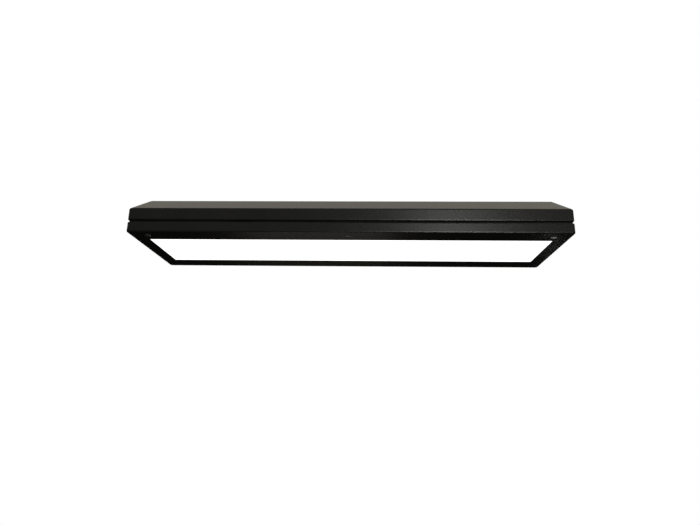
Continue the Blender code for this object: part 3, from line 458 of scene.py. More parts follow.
COAT = powder_coat()
REFLECTOR = textured(
    "white_reflector_paint", ((0.74, 0.74, 0.72), (0.76, 0.76, 0.745)), (0.3, 0.36), 420, 0.03 * MM,
    scale=5,
)
ZINC = textured(
    "zinc_plate", ((0.54, 0.55, 0.57), (0.61, 0.6, 0.58)), (0.3, 0.4), 900, 0.015 * MM, 1.0, 35
)
GALVANISED = spangled_zinc()
CHROME = textured(
    "satin_chrome", ((0.48, 0.49, 0.5), (0.54, 0.54, 0.54)), (0.12, 0.2), 700, 0.01 * MM, 1.0, 60
)
SOLDER = textured(
    "solder_domes", ((0.6, 0.61, 0.63), (0.7, 0.7, 0.71)), (0.15, 0.3), 600, 0.03 * MM, 1.0, 200
)
NICKEL = textured(
    "nickel_pins", ((0.66, 0.6, 0.46), (0.76, 0.7, 0.55)), (0.16, 0.3), 900, 0.01 * MM, 1.0, 80
)
BLACK_PLASTIC = textured(
    "black_moulding", ((0.02, 0.02, 0.02), (0.032, 0.032, 0.033)), (0.38, 0.52), 2200, 0.06 * MM
)
GREY_PLASTIC = textured(
    "grey_moulding", ((0.52, 0.52, 0.5), (0.6, 0.6, 0.58)), (0.4, 0.52), 1500, 0.05 * MM
)
WHITE_PLASTIC = textured(
    "white_moulding", ((0.78, 0.78, 0.75), (0.84, 0.84, 0.82)), (0.3, 0.42), 1500, 0.04 * MM
)
# Black foam, made darker still so that the groove it sits in reads black: its own colour plus painted
# groove shade.
FOAM_AND_GROOVE_SHADE = textured(
    "cell_foam_and_groove_shade", ((0.004, 0.004, 0.004), (0.01, 0.01, 0.01)), (0.85, 0.95), 900, 0.1 * MM,
    kind="Voronoi",
)
FOAM_AND_GROOVE_SHADE.node_tree.nodes["Principled BSDF"].inputs["Specular IOR Level"].default_value = 0.08
OPAL = lit_opal()
SOLDER_MASK = textured(
    "white_solder_mask", ((0.88, 0.9, 0.91), (0.91, 0.92, 0.93)), (0.28, 0.36), 700, 0.02 * MM,
    scale=60,
)
COPPER_PAD = textured(
    "gilt_pads", ((0.75, 0.6, 0.3), (0.85, 0.7, 0.4)), (0.2, 0.35), 900, 0.01 * MM, 1.0, 60
)
CERAMIC = textured(
    "led_package", ((0.84, 0.84, 0.82), (0.9, 0.9, 0.88)), (0.35, 0.45), 1500, 0.02 * MM
)
PHOSPHOR = glowing_phosphor()
GREY_SHEATH = textured(
    "grey_sheath", ((0.36, 0.36, 0.36), (0.45, 0.45, 0.45)), (0.35, 0.5), 900, 0.04 * MM
)
RED_SHEATH = textured(
    "red_sheath", ((0.4, 0.035, 0.03), (0.5, 0.06, 0.05)), (0.3, 0.45), 900, 0.04 * MM
)
EARTH_SHEATH = striped_earth()


# ---------------------------------------------------------------- tools


def arc(start, end, count):
    """Evenly spaced angles, given in degrees and returned in radians."""
    return [math.radians(start + (end - start) * i / (count - 1)) for i in range(count)]


def quarter_round(size, steps=5):
    """How far a rounded corner's points lie in from the side and from the face, side first."""
    return [(size * (1 - math.cos(a)), size * (1 - math.sin(a))) for a in arc(0, 90, steps)]


def link(name, mesh, matrix=UPRIGHT):
    """A new object in the scene."""
    obj = bpy.data.objects.new(name, mesh)
    obj.matrix_world = matrix
    bpy.context.scene.collection.objects.link(obj)
    return obj


SHARP_ANGLE = math.radians(35)
CABLE_SHARP_ANGLE = math.radians(60)


def finish_mesh(mesh):
    """Smooth shading, with sharp edges where the faces turn enough."""
    mesh.shade_smooth()
    mesh.set_sharp_from_angle(angle=SHARP_ANGLE)
    return mesh


def baked(obj):
    """The object's mesh with its modifiers applied. The object is used up."""
    evaluated = obj.evaluated_get(bpy.context.evaluated_depsgraph_get())
    mesh = bpy.data.meshes.new_from_object(evaluated)
    bpy.data.objects.remove(obj)
    return mesh


def mesh_from(bm, name):
    """A mesh whose faces all point outwards. The bmesh is used up."""
    bmesh.ops.recalc_face_normals(bm, faces=bm.faces)
    mesh = bpy.data.meshes.new(name)
    bm.to_mesh(mesh)
    bm.free()
    return mesh


def piece(name, mesh, material, body, nodes=(), matrix=UPRIGHT):
    """A shown piece that rides on a body and stands for CAD nodes."""
    if not mesh.materials:
        mesh.materials.append(material)
    obj = link(name, finish_mesh(mesh), matrix)
    shading = obj.modifiers.new("shading", "WEIGHTED_NORMAL")
    shading.keep_sharp = True
    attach(obj, body)
    if nodes:
        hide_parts(*nodes)
    return obj


def with_modifiers(mesh, *modifiers):
    """The mesh after modifiers, each a (type, settings) pair."""
    obj = link(mesh.name, mesh)
    for kind, settings in modifiers:
        modifier = obj.modifiers.new(kind.lower(), kind)
        for key, value in settings.items():
            setattr(modifier, key, value)
    bpy.context.view_layer.update()
    return baked(obj)


def bevel(width, segments=2, angle=30):
    """A bevel for with_modifiers."""
    settings = {
        "width": width,
        "segments": segments,
        "limit_method": "ANGLE",
        "angle_limit": math.radians(angle),
        "use_clamp_overlap": True,
    }
    return ("BEVEL", settings)


def boolean(mesh, cutter_mesh, operation="DIFFERENCE"):
    """The mesh cut by another, which has to be one clean solid or several that don't overlap."""
    cutter = link("cutter", cutter_mesh)
    settings = {"object": cutter, "operation": operation, "solver": "EXACT"}
    result = with_modifiers(mesh, ("BOOLEAN", settings))
    bpy.data.objects.remove(cutter)
    return result


def copied(node, joins_flats=True):
    """A copy of a CAD node's mesh, with the triangles of each flat face joined up."""
    bm = bmesh.new()
    bm.from_mesh(frame["nodes"][node].data)
    bmesh.ops.remove_doubles(bm, verts=bm.verts, dist=0.001 * MM)
    if joins_flats:
        flat = {"angle_limit": math.radians(1), "use_dissolve_boundaries": False}
        bmesh.ops.dissolve_limit(bm, verts=bm.verts, edges=bm.edges, **flat)
    mesh = bpy.data.meshes.new(f"{node}_copy")
    bm.to_mesh(mesh)
    bm.free()
    return mesh


def softened(node, material, width=0.4 * MM, segments=2, mesh=None):
    """A copy of a CAD node with rounded edges, which stands for it."""
    rounded = with_modifiers(mesh or copied(node), bevel(width, segments))
    return piece(f"{node}_finish", rounded, material, body_of(node), [node])


def body_of(node):
    """The name of the body that a CAD node rides on."""
    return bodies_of(frame["nodes"][node])[0]


def middle(node):
    """The middle of a CAD node's box."""
    low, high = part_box(node)
    return (low + high) / 2


def turned(name, profile, steps=40):
    """A (radius, height) profile turned about Z. One that stays off the axis closes into a ring."""
    bm = bmesh.new()
    verts = [bm.verts.new((radius, 0.0, height)) for radius, height in profile]
    pairs = list(zip(verts, verts[1:]))
    if min(profile[0][0], profile[-1][0]) > 0:
        pairs.append((verts[-1], verts[0]))
    edges = [bm.edges.new(pair) for pair in pairs]
    spin = {"cent": (0, 0, 0), "axis": (0, 0, 1), "angle": 2 * math.pi, "steps": steps}
    bmesh.ops.spin(bm, geom=verts + edges, use_merge=True, **spin)
    bmesh.ops.remove_doubles(bm, verts=bm.verts, dist=0.001 * MM)
    return mesh_from(bm, name)


def add_box(bm, low, high):
    """Adds a box between two corners."""
    size = [b - a for a, b in zip(low, high)]
    place = [(a + b) / 2 for a, b in zip(low, high)]
    matrix = Matrix.Translation(place) @ Matrix.Diagonal((*size, 1.0))
    bmesh.ops.create_cube(bm, size=1.0, matrix=matrix)


def add_rod(bm, radius, length, matrix, sides=32):
    """Adds a rod along the matrix's Z, with its middle at the matrix's place."""
    ends = {"radius1": radius, "radius2": radius, "depth": length}
    bmesh.ops.create_cone(bm, cap_ends=True, segments=sides, matrix=matrix, **ends)


def ring(half_x, half_y, radius, z, steps=10):
    """Points of a rounded rectangle."""
    points = []
    for quarter in range(4):
        sign_x = 1 if quarter in (0, 3) else -1
        sign_y = 1 if quarter in (0, 1) else -1
        for step in range(steps + 1):
            angle = (quarter + step / steps) * math.pi / 2
            x = sign_x * (half_x - radius) + radius * math.cos(angle)
            y = sign_y * (half_y - radius) + radius * math.sin(angle)
            points.append((x, y, z))
    return points


def lofted(name, rings, is_capped=False, is_closed=False):
    """A skin through rings of points. It may close over the last ring, or from last to first."""
    bm = bmesh.new()
    loops = [[bm.verts.new(point) for point in points] for points in rings]
    pairs = list(zip(loops, loops[1:]))
    if is_closed:
        pairs.append((loops[-1], loops[0]))
    for lower, upper in pairs:
        for i, corner in enumerate(lower):
            j = (i + 1) % len(lower)
            bm.faces.new((corner, lower[j], upper[j], upper[i]))
    if is_capped:
        bm.faces.new(loops[-1])
    return mesh_from(bm, name)


def prism(name, outline, low, high):
    """A solid that has the same outline from one height to the other."""
    bm = bmesh.new()
    base = bm.faces.new([bm.verts.new((x, y, low)) for x, y, *_ in outline])
    drawn = bmesh.ops.extrude_face_region(bm, geom=[base])["geom"]
    verts = [item for item in drawn if isinstance(item, bmesh.types.BMVert)]
    bmesh.ops.translate(bm, verts=verts, vec=(0.0, 0.0, high - low))
    return mesh_from(bm, name)


FOLD_STEPS = 6
CUT_EDGE = 0.25 * MM
CUT_EDGE_ANGLE = 50


def folded(name, rings, is_capped, thickness, fold):
    """A sheet through rings of (half x, half y, corner radius, z), with round folds."""
    mesh = lofted(name, [ring(*values) for values in rings], is_capped)
    sheet = {"thickness": thickness, "offset": -1.0, "use_even_offset": True}
    edges = bevel(CUT_EDGE, 2, CUT_EDGE_ANGLE)
    return with_modifiers(mesh, bevel(fold, FOLD_STEPS), ("SOLIDIFY", sheet), edges)


def holed(mesh, rods, length=14 * MM):
    """The mesh with a round hole at each (radius, matrix)."""
    bm = bmesh.new()
    for radius, matrix in rods:
        add_rod(bm, radius, length, matrix)
    return boolean(mesh, mesh_from(bm, "holes"))


# ---------------------------------------------------------------- fasteners


RECESS_HALF_SLOT = 0.45 * MM
RECESS_DEPTH = 1.3 * MM
THREAD_DEPTH = 0.35 * MM
STUD_CHAMFER = 0.5 * MM
STUD_ROOT = 0.6 * MM
NUT_CHAMFER = 0.35 * MM


def cross_recess(top, reach=2.1 * MM):
    """Cutter for a cross slot in a screw's head."""
    half_slot = RECESS_HALF_SLOT
    outline = []
    for x, y in ((1, 0), (0, 1), (-1, 0), (0, -1)):
        outline.append((x * reach + y * half_slot, y * reach - x * half_slot))
        outline.append((x * reach - y * half_slot, y * reach + x * half_slot))
        outline.append(((x - y) * half_slot, (y + x) * half_slot))
    return prism("recess", outline, top - RECESS_DEPTH, top + 1 * MM)


def screw_nodes(*families):
    """The names of all four screws of each family."""
    return [f"{family}_{number}" for family in families for number in NUMBERS]


def screw_template(grip):
    """A pan head with a domed top and a cross recess; the head seats on z 0."""
    r, h = SCREW_HEAD_RADIUS, SCREW_HEAD_HEIGHT
    dome = [(r * math.sin(a), 0.45 * h + 0.55 * h * math.cos(a)) for a in arc(0, 90, 7)]
    profile = dome + [(r, 0.0), (SCREW_RADIUS, 0.0), (SCREW_RADIUS, -grip), (0.0, -grip)]
    return boolean(turned("pan_head_screw", profile), cross_recess(h))


def hex_nut(corner_radius, hole_radius, height):
    """A chamfered nut that stands on z 0."""
    bm = bmesh.new()
    add_rod(bm, corner_radius, height, Matrix.Translation((0, 0, height / 2)), 6)
    mesh = with_modifiers(mesh_from(bm, "nut"), bevel(NUT_CHAMFER, 2))
    return holed(mesh, [(hole_radius, Matrix.Translation((0, 0, height / 2)))], 3 * height)


def threaded_stud(radius, height):
    """A stud that stands on z 0, with grooves for its thread."""
    profile = [(0.0, height), (radius - STUD_CHAMFER, height)]
    count = int(height / STUD_THREAD_PITCH) - 1
    for i in range(count):
        top = height - STUD_CHAMFER - i * STUD_THREAD_PITCH
        profile.append((radius, top))
        profile.append((radius - THREAD_DEPTH, top - STUD_THREAD_PITCH / 2))
    profile += [(radius, STUD_ROOT), (radius, 0.0), (0.0, 0.0)]
    return turned("stud", profile, 24)


def make_screws():
    """The four screws of each family, and the earth screw."""
    families = (
        ("rail_screw", RAIL_SCREW_GRIP, False),
        ("tray_screw", SCREW_GRIP, True),
        ("driver_screw", SCREW_GRIP, False),
    )
    for family, grip, is_down in families:
        template = screw_template(grip)
        for number, node in enumerate(screw_nodes(family), 1):
            low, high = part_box(node)
            spot = middle(node)
            if is_down:
                matrix = Matrix.Translation((spot.x, spot.y, low.z + SCREW_HEAD_HEIGHT)) @ HEAD_DOWN
            else:
                matrix = Matrix.Translation((spot.x, spot.y, high.z - SCREW_HEAD_HEIGHT))
            spin = Matrix.Rotation(SCREW_SPIN * number, 4, "Z")
            piece(f"{node}_finish", template, ZINC, HOUSING, [node], matrix @ spin)
    spot, top = middle("earth_screw_1"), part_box("earth_screw_1")[1].z
    matrix = Matrix.Translation((spot.x, spot.y, top - SCREW_HEAD_HEIGHT))
    mesh = screw_template(SCREW_GRIP)
    piece("earth_screw_finish", mesh, ZINC, HOUSING, ["earth_screw_1"], matrix)


# ---------------------------------------------------------------- housing


INLET_WINDOW_HALF = (10.4 * MM, 14.1 * MM)
INLET_WINDOW_REACH = 5 * MM


def inlet_window():
    """Cutter for the inlet's window in the deck."""
    centre_x = middle("power_inlet").x
    half_x, half_y = INLET_WINDOW_HALF
    low = (centre_x - half_x, -half_y, SHELL_HIGH.z - INLET_WINDOW_REACH)
    high = (centre_x + half_x, half_y, SHELL_HIGH.z + INLET_WINDOW_REACH)
    window = bmesh.new()
    add_box(window, low, high)
    return mesh_from(window, "window")


def make_housing():
    """The folded shell, with its screw holes and the inlet's window."""
    top_x, top_y = HALF_LENGTH - SHOULDER_INSET, HALF_DEPTH - SHOULDER_INSET
    lip, band = SHELL_LOW.z, SHELL_LOW.z + BAND_HEIGHT
    inner_x, inner_y = HALF_LENGTH - LIP_WIDTH, HALF_DEPTH - LIP_WIDTH
    rings = [
        (inner_x, inner_y, CORNER_RADIUS / 2, lip),
        (HALF_LENGTH, HALF_DEPTH, CORNER_RADIUS, lip),
        (HALF_LENGTH, HALF_DEPTH, CORNER_RADIUS, band),
        (top_x, top_y, CORNER_RADIUS, SHELL_HIGH.z),
    ]
    mesh = folded("shell", rings, True, SHEET, HOUSING_FOLD)
    holes = []
    for node in screw_nodes("rail_screw", "tray_screw"):
        spot = middle(node)
        height = SHELL_HIGH.z if node.startswith("rail") else lip
        holes.append((SCREW_HOLE_RADIUS, Matrix.Translation((spot.x, spot.y, height))))
    mesh = boolean(holed(mesh, holes, 6 * MM), inlet_window())
    piece("housing_shell_finish", mesh, COAT, HOUSING, ["housing_shell"])


def make_rail_and_eye():
    """The hanging rail and the safety eye, on the deck."""
    softened("hanging_rail", GALVANISED, 0.8 * MM, 3)
    softened("safety_eye", ZINC, 0.6 * MM, 3)


# Half width, half depth and corner radius of the inlet's collar, and of a ring well outside it.
INLET_COLLAR = (10.3 * MM, 14 * MM, 3.4 * MM)
INLET_OUTSIDE = (20 * MM, 34 * MM, 1 * MM)
INLET_COLLAR_RISE = 0.6 * MM
INLET_CORNER_RADIUS = 2.5 * MM
CUTTER_REACH = 2 * MM


def make_inlet():
    """A black inlet: a flange with round corners, a low collar round the socket, three pins."""
    low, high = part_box("power_inlet")
    centre = Matrix.Translation((middle("power_inlet").x, 0.0, 0.0))
    edge = ring((high.x - low.x) / 2, high.y, INLET_CORNER_RADIUS, 0.0)
    flange = prism("flange", edge, low.z - CUTTER_REACH, high.z + CUTTER_REACH)
    flange.transform(centre)
    mesh = boolean(copied("power_inlet"), flange, "INTERSECT")
    step, above = high.z - INLET_COLLAR_RISE, high.z + CUTTER_REACH
    rings = [ring(*INLET_OUTSIDE, step), ring(*INLET_OUTSIDE, above)]
    rings += [ring(*INLET_COLLAR, above), ring(*INLET_COLLAR, step)]
    cutter = lofted("step", rings, is_closed=True)
    cutter.transform(centre)
    softened("power_inlet", BLACK_PLASTIC, 0.3 * MM, 2, boolean(mesh, cutter))
    for name in ("live", "neutral", "earth"):
        softened(f"inlet_pin_{name}", NICKEL, 0.35 * MM, 3)


# ---------------------------------------------------------------- gear


TRAY_CORNER_RADIUS = 6 * MM
TRAY_BASE = TRAY_HIGH.z - TRAY_SHEET


def make_tray():
    """The white gear tray with its wings, its screw holes and the grommets for the leads."""
    inner_x, inner_y = TRAY_HIGH.x - TRAY_FLANGE, TRAY_HIGH.y - TRAY_FLANGE
    rings = [
        (TRAY_HIGH.x, TRAY_HIGH.y, TRAY_CORNER_RADIUS, TRAY_LOW.z),
        (inner_x, inner_y, TRAY_CORNER_RADIUS, TRAY_LOW.z),
        (inner_x - TRAY_WING, inner_y - TRAY_WING, TRAY_CORNER_RADIUS, TRAY_BASE),
    ]
    mesh = folded("tray", rings, True, TRAY_SHEET, TRAY_FOLD)
    holes = []
    for node in screw_nodes("driver_screw", "tray_screw"):
        holes.append((SCREW_HOLE_RADIUS, Matrix.Translation(middle(node))))
    for name in ENDS:
        spot = lead_exit(name)
        holes.append((LEAD_HOLE_RADIUS, Matrix.Translation((spot.x, spot.y, TRAY_BASE))))
    piece("gear_tray_finish", holed(mesh, holes), REFLECTOR, HOUSING, ["gear_tray"])
    for name in ENDS:
        make_grommet(name)


# Radius and height of each corner of a grommet's section, from the tray down.
GROMMET_SECTION = (
    (2.5 * MM, 1.2 * MM),
    (4.6 * MM, 1.2 * MM),
    (5.0 * MM, 0.7 * MM),
    (5.0 * MM, 0.1 * MM),
    (2.5 * MM, 0.1 * MM),
)


def make_grommet(name):
    """The grommet round the hole where a lead comes down through the tray."""
    spot = lead_exit(name)
    matrix = Matrix.Translation((spot.x, spot.y, TRAY_BASE)) @ HEAD_DOWN
    mesh = turned("grommet", GROMMET_SECTION)
    piece(f"lead_grommet_{name}", mesh, BLACK_PLASTIC, HOUSING, (), matrix)


LOWEST_BAND = 0.5 * MM


def lead_exit(name):
    """The middle of a lead's cross wire, right under the hole where the lead comes down."""
    node = f"driver_lead_{name}"
    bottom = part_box(node)[0].z
    lowest = [v.co for v in frame["nodes"][node].data.vertices if v.co.z < bottom + LOWEST_BAND]
    x = sum(point.x for point in lowest) / len(lowest)
    y = (min(point.y for point in lowest) + max(point.y for point in lowest)) / 2
    return Vector((x, y, bottom))


# LED strips: packages under a white board, with printed tracks along both of its edges.
BOARD_THICKNESS = 1.6 * MM
BOARD_CORNER = 2 * MM
PACKAGES_PER_STRIP = 20
PACKAGE_HALF = (1.75 * MM, 1.4 * MM)
PACKAGE_HEIGHT = 0.7 * MM
LENS_RADIUS = 1.15 * MM
PAD_REACH = 0.9 * MM
PAD_RISE = 0.05 * MM
TRACK_OFFSET = 5.5 * MM
TRACK_HALF_WIDTH = 1.2 * MM
RIVET_SHARES = (-0.488, -0.25, 0.0, 0.25, 0.488)
# Radius and height of each corner of a push rivet's head.
RIVET_HEAD = (
    (0.0, 1.3 * MM),
    (1.6 * MM, 1.1 * MM),
    (2.7 * MM, 0.5 * MM),
    (3.0 * MM, 0.0),
    (0.0, 0.0),
)
SOLDER_RADIUS = 3 * MM
SOLDER_REACH = 23.5 * MM
BOARD_ROUNDING = 0.15 * MM


def add_block_under(bm, x, y, half_x, half_y, top, drop):
    """Adds a block that hangs under a height."""
    add_box(bm, (x - half_x, y - half_y, top - drop), (x + half_x, y + half_y, top))


def make_packages(node, xs, y, top):
    """The packages on one board, each with its lit window and two soldered ends."""
    packages, lenses, pads = bmesh.new(), bmesh.new(), bmesh.new()
    half_x, half_y = PACKAGE_HALF
    for x in xs:
        add_block_under(packages, x, y, half_x, half_y, top, PACKAGE_HEIGHT)
        window = Matrix.Translation((x, y, top - PACKAGE_HEIGHT))
        add_rod(lenses, LENS_RADIUS, PAD_RISE, window, 24)
        for side in (-1, 1):
            end = x + side * (half_x + PAD_REACH / 2)
            add_block_under(pads, end, y, PAD_REACH / 2, half_y, top, PAD_RISE)
    rounded = with_modifiers(mesh_from(packages, "packages"), bevel(BOARD_ROUNDING, 2))
    for name, mesh, material in (
        ("packages", rounded, CERAMIC),
        ("lenses", mesh_from(lenses, "lenses"), PHOSPHOR),
        ("pads", mesh_from(pads, "pads"), COPPER_PAD),
    ):
        piece(f"{node}_{name}", mesh, material, HOUSING, ())


def make_strip(number):
    """A white board with rounded ends, its tracks, LED packages and push rivets."""
    node = f"led_strip_{number}"
    low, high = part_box(node)
    under = high.z - BOARD_THICKNESS
    y, half, half_width = (low.y + high.y) / 2, (high.x - low.x) / 2, (high.y - low.y) / 2
    outline = [(px, py + y) for px, py, _ in ring(half, half_width, BOARD_CORNER, 0.0, 4)]
    board = with_modifiers(prism("board", outline, under, high.z), bevel(BOARD_ROUNDING, 2))
    piece(f"{node}_board", board, SOLDER_MASK, HOUSING, [node])
    pitch = 2 * half / PACKAGES_PER_STRIP
    make_packages(node, [(i + 0.5) * pitch - half for i in range(PACKAGES_PER_STRIP)], y, under)
    tracks, reach = bmesh.new(), half - pitch / 4
    for offset in (-TRACK_OFFSET, TRACK_OFFSET):
        add_block_under(tracks, 0.0, y + offset, reach, TRACK_HALF_WIDTH, under, PAD_RISE)
    piece(f"{node}_tracks", mesh_from(tracks, "tracks"), SOLDER_MASK, HOUSING, ())
    template = turned("push_rivet", RIVET_HEAD, 24)
    for i, share in enumerate(RIVET_SHARES, 1):
        spot = Matrix.Translation((share * 2 * half, y, under)) @ HEAD_DOWN
        piece(f"{node}_rivet_{i}", template, WHITE_PLASTIC, HOUSING, (), spot)


CLAMP_SCREW_RADIUS = 1.8 * MM
CLAMP_SCREW_LENGTH = 3 * MM
CLAMP_SCREW_EDGE = 0.3 * MM
CLAMP_SCREW_SINK = 0.8 * MM
CLAMP_RECESS_REACH = 1.3 * MM
CLAMP_SCREW_PLACES = (-14 * MM, -5 * MM, 5 * MM, 14 * MM)


def make_terminal_block():
    """The terminal block and the clamp screws in its top."""
    softened("terminal_block", GREY_PLASTIC, 0.5 * MM, 2)
    radius, length, edge = CLAMP_SCREW_RADIUS, CLAMP_SCREW_LENGTH, CLAMP_SCREW_EDGE
    profile = [(0, 0), (radius - edge, 0), (radius, -edge), (radius, -length), (0, -length)]
    recess = cross_recess(0.0, CLAMP_RECESS_REACH)
    template = boolean(turned("clamp_screw", profile, 24), recess)
    x, top = middle("terminal_block").x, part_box("terminal_block")[1].z
    for i, y in enumerate(CLAMP_SCREW_PLACES, 1):
        matrix = Matrix.Translation((x, y, top - CLAMP_SCREW_SINK))
        piece(f"terminal_screw_{i}", template, ZINC, HOUSING, (), matrix)


def make_gear():
    """Drivers, cables, solder, terminal block and LED strips."""
    for side in ENDS:
        softened(f"led_driver_{side}", WHITE_PLASTIC, 1.2 * MM, 3)
        smooth_cable(f"driver_feed_{side}", GREY_SHEATH)
        smooth_cable(f"driver_lead_{side}", RED_SHEATH)
        make_solder(side)
    smooth_cable("inlet_cable", GREY_SHEATH)
    smooth_cable("earth_wire", EARTH_SHEATH)
    make_terminal_block()
    for number in NUMBERS:
        make_strip(number)


def make_solder(side):
    """A dome of solder at each end of a lead's cross wire."""
    exit_spot = lead_exit(side)
    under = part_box("led_strip_1")[1].z - BOARD_THICKNESS
    rise = under - exit_spot.z
    dome = [(SOLDER_RADIUS * math.cos(a), rise * math.sin(a)) for a in arc(90, 0, 9)]
    template = turned("solder", [*dome, (0.0, 0.0)], 32)
    for number, reach in ((1, -SOLDER_REACH), (2, SOLDER_REACH)):
        spot = Matrix.Translation((exit_spot.x, exit_spot.y + reach, under)) @ HEAD_DOWN
        piece(f"lead_solder_{side}_{number}", template, SOLDER, HOUSING, (), spot)


def smooth_cable(node, material):
    """A copy of a cable, shaded smooth across its facets."""
    mesh = copied(node, joins_flats=False)
    piece(f"{node}_finish", mesh, material, body_of(node), [node])
    mesh.set_sharp_from_angle(angle=CABLE_SHARP_ANGLE)


# ---------------------------------------------------------------- hinges and latches


def weld_marked(node):
    """A hinge leaf's mesh with four shallow spot welds pressed into its outer face."""
    low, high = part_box(node)
    is_body = body_of(node) == HOUSING
    edge, inward = (high.z, -1) if is_body else (low.z, 1)
    outer = low.y + HINGE_LEAF_SHEET
    welds = bmesh.new()
    for x in (low.x + WELD_INSET, high.x - WELD_INSET):
        for step in (1, 2):
            z = edge + inward * step * WELD_PITCH
            place = Matrix.Translation((x, outer, z)) @ Matrix.Rotation(math.pi / 2, 4, "X")
            add_rod(welds, WELD_RADIUS, 2 * WELD_DEPTH, place, 24)
    return boolean(copied(node), mesh_from(welds, "welds"))


PIN_LENGTH = 60 * MM
PIN_RADIUS = 1.9 * MM
PIN_DOME = 0.4


def make_hinges():
    """Both hinges: two painted leaves and a pin with domed ends."""
    r, end = PIN_RADIUS, PIN_LENGTH / 2
    dome = [(r * math.sin(a), end - PIN_DOME * r * (1 - math.cos(a))) for a in arc(0, 90, 6)]
    profile = dome + [(radius, -height) for radius, height in reversed(dome)]
    template = turned("hinge_pin", profile, 32)
    for side in ENDS:
        for kind in ("body", "door"):
            node = f"hinge_{kind}_leaf_{side}"
            softened(node, COAT, 0.35 * MM, 2, weld_marked(node))
        node = f"hinge_pin_{side}"
        matrix = Matrix.Translation(middle(node)) @ ALONG_X
        piece(f"{node}_finish", template, ZINC, HOUSING, [node], matrix)


# Quarter-turn latches. Heights are above the door's underside.
FLANGE_RADIUS = 9 * MM
FLANGE_TOP = -0.3 * MM
FLANGE_BOTTOM = -2.0 * MM
FLANGE_CONE = 1.6 * MM
FLANGE_BREAK = 0.2 * MM
BUSH_RADIUS = 7.5 * MM
BUSH_TOP = 14 * MM
BUSH_WELL_RADIUS = 6.4 * MM
BUSH_WELL_TOP = 1.3 * MM
BUSH_BORE_RADIUS = 3.1 * MM
STEM_HEAD_RADIUS = 6.3 * MM
STEM_HEAD_BOTTOM = -1.8 * MM
STEM_HEAD_TOP = 1 * MM
STEM_HEAD_ROUNDING = 0.2 * MM
STEM_RADIUS = 3.0 * MM
STEM_TOP = 27 * MM
STEM_CHAMFER = 0.4 * MM
STEM_SLOT_HALF = (4.5 * MM, 0.7 * MM)
STEM_SLOT_DEPTH = 1.0 * MM
STEM_SLOT_CUTTER_BOTTOM = -3 * MM
# Corner radius, hole radius and height of each nut.
PAWL_NUT = (4.6 * MM, 3.05 * MM, 2.4 * MM)
BUSH_NUT = (9.8 * MM, 7.6 * MM, 3.4 * MM)
PAWL_NUT_SEAT = 24.2 * MM
BUSH_NUT_SEAT = 1.5 * MM


def make_latches():
    """Chrome bushes and slotted stems, the pawls, the nuts that hold them, and the keepers."""
    bush = bush_mesh()
    stem = stem_mesh()
    small_nut = hex_nut(*PAWL_NUT)
    big_nut = hex_nut(*BUSH_NUT)
    for side in SIDES:
        body = f"latch_{side}"
        spot = middle(f"latch_stem_{side}")
        base = Matrix.Translation((spot.x, spot.y, BOTTOM))
        bush_node, stem_node = f"latch_bush_{side}", f"latch_stem_{side}"
        piece(f"{bush_node}_finish", bush, CHROME, DOOR, [bush_node], base)
        piece(f"{stem_node}_finish", stem, CHROME, body, [stem_node], base)
        softened(f"latch_pawl_{side}", ZINC, 0.4 * MM, 2)
        above_pawl = Matrix.Translation((0, 0, PAWL_NUT_SEAT))
        above_sheet = Matrix.Translation((0, 0, BUSH_NUT_SEAT))
        piece(f"pawl_nut_{side}", small_nut, ZINC, body, (), base @ above_pawl)
        piece(f"bush_nut_{side}", big_nut, ZINC, DOOR, (), base @ above_sheet)
        softened(f"keeper_{side}", ZINC, 0.4 * MM, 2)


def bush_mesh():
    """A bush whose flange has a coned rim."""
    low, break_edge = FLANGE_BOTTOM, FLANGE_BREAK
    face_radius = FLANGE_RADIUS - FLANGE_CONE
    outside = [(BUSH_RADIUS, BUSH_TOP), (BUSH_RADIUS, FLANGE_TOP), (FLANGE_RADIUS, FLANGE_TOP)]
    face = [(face_radius, low + break_edge / 2), (face_radius - break_edge, low)]
    face += [(BUSH_WELL_RADIUS + break_edge, low), (BUSH_WELL_RADIUS, low + break_edge)]
    inside = [(BUSH_WELL_RADIUS, BUSH_WELL_TOP), (BUSH_BORE_RADIUS, BUSH_WELL_TOP)]
    return turned("latch_bush", [*outside, *face, *inside, (BUSH_BORE_RADIUS, BUSH_TOP)], 48)


def stem_mesh():
    """A stem with a slotted head."""
    low = STEM_HEAD_BOTTOM
    rounding = quarter_round(STEM_HEAD_ROUNDING)
    edge = [(STEM_HEAD_RADIUS - inset, low + rise) for inset, rise in rounding]
    profile = [(0.0, STEM_TOP), (STEM_RADIUS - STEM_CHAMFER, STEM_TOP)]
    profile += [(STEM_RADIUS, STEM_TOP - STEM_CHAMFER), (STEM_RADIUS, STEM_HEAD_TOP)]
    profile += [(STEM_HEAD_RADIUS, STEM_HEAD_TOP), *edge, (0.0, low)]
    mesh = turned("latch_stem", profile, 48)
    half_x, half_y = STEM_SLOT_HALF
    slot = bmesh.new()
    corner = (half_x, half_y, low + STEM_SLOT_DEPTH)
    add_box(slot, (-half_x, -half_y, STEM_SLOT_CUTTER_BOTTOM), corner)
    return boolean(mesh, mesh_from(slot, "slot"))


# ---------------------------------------------------------------- door


STUD_INSET = 17 * MM
STUDS_ALONG = (-480 * MM, -160 * MM, 160 * MM, 480 * MM)
STUDS_ACROSS = (-60 * MM, 60 * MM)
STUD_RADIUS = 2.0 * MM
# Corner radius, hole radius and height of the nuts, and their seat above the door's underside.
STUD_NUT = (4.0 * MM, 2.1 * MM, 3.2 * MM)
STUD_NUT_SEAT = 3.0 * MM
STUD_NUT_SPIN = 0.4
OPENING_CORNER_RADIUS = 1.5 * MM


def stud_places():
    """(x, y) of the studs round the diffuser."""
    x, y = OPENING_X + STUD_INSET, OPENING_Y + STUD_INSET
    long_sides = [(along, side * y) for along in STUDS_ALONG for side in (-1, 1)]
    return long_sides + [(side * x, along) for side in (-1, 1) for along in STUDS_ACROSS]


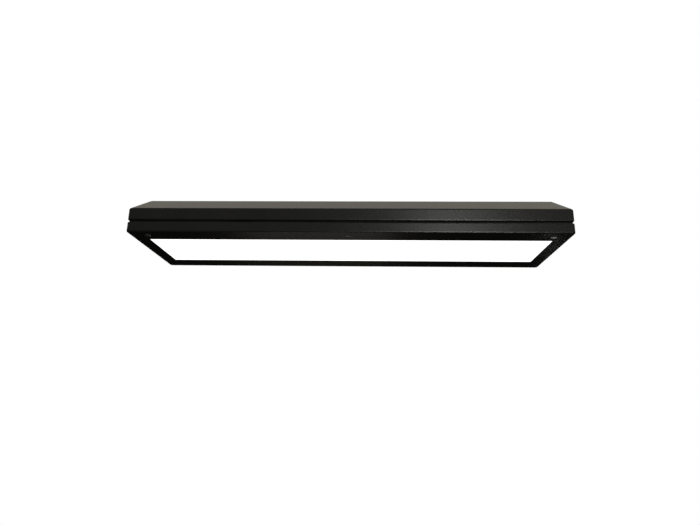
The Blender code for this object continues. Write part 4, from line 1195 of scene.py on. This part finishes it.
def make_door():
    """The folded door, its studs and nuts, the diffuser and the retainers that hold it."""
    rim_x, rim_y = HALF_LENGTH - DOOR_RIM_WIDTH, HALF_DEPTH - DOOR_RIM_WIDTH
    top = DOOR_HIGH.z
    rings = [
        (rim_x, rim_y, CORNER_RADIUS / 2, top),
        (HALF_LENGTH, HALF_DEPTH, CORNER_RADIUS, top),
        (HALF_LENGTH, HALF_DEPTH, CORNER_RADIUS, BOTTOM),
        (OPENING_X, OPENING_Y, OPENING_CORNER_RADIUS, BOTTOM),
    ]
    mesh = folded("door", rings, False, SHEET, DOOR_FOLD)
    spots = [middle(f"latch_bush_{side}") for side in SIDES]
    holes = [(LATCH_HOLE_RADIUS, Matrix.Translation((spot.x, spot.y, BOTTOM))) for spot in spots]
    mesh = holed(mesh, holes, 6 * MM)
    piece("door_frame_finish", mesh, COAT, DOOR, ["door_frame"])
    stud = threaded_stud(STUD_RADIUS, STUD_TOP - SHEET)
    nut = hex_nut(*STUD_NUT)
    for i, (x, y) in enumerate(stud_places(), 1):
        foot = Matrix.Translation((x, y, BOTTOM + SHEET))
        spin = Matrix.Rotation(STUD_NUT_SPIN * i, 4, "Z")
        seat = Matrix.Translation((x, y, BOTTOM + STUD_NUT_SEAT)) @ spin
        piece(f"door_stud_{i}", stud, ZINC, DOOR, (), foot)
        piece(f"door_stud_nut_{i}", nut, ZINC, DOOR, (), seat)
    for side in ("front", "rear", "left", "right"):
        softened(f"diffuser_retainer_{side}", ZINC, 0.5 * MM, 3)
    softened("diffuser", OPAL, 0.3 * MM, 2)


GASKET_WIDTH = 7 * MM
GASKET_ROUNDING = 0.8 * MM
GASKET_CORNER_RADIUS = 5 * MM


def make_gasket():
    """A foam strip with rounded upper corners, in the groove between door and housing."""
    low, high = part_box("door_gasket")
    half_x, half_y = high.x, high.y
    height = high.z - low.z
    corner = [(inset, height - fall) for inset, fall in quarter_round(GASKET_ROUNDING)]
    outer = [(0.0, 0.0), *corner]
    section = outer + [(GASKET_WIDTH - inset, rise) for inset, rise in reversed(outer)]
    rings = [
        ring(half_x - inset, half_y - inset, GASKET_CORNER_RADIUS, low.z + rise, 6)
        for inset, rise in section
    ]
    mesh = lofted("gasket", rings, is_closed=True)
    piece("door_gasket_finish", mesh, FOAM_AND_GROOVE_SHADE, DOOR, ["door_gasket"])


add_camera()
add_world()
add_floor()
add_lights()
make_housing()
make_rail_and_eye()
make_inlet()
make_tray()
make_gear()
make_screws()
make_hinges()
make_latches()
make_door()
make_gasket()
# Plain tones, without a film curve.
bpy.context.scene.view_settings.view_transform = "Standard"
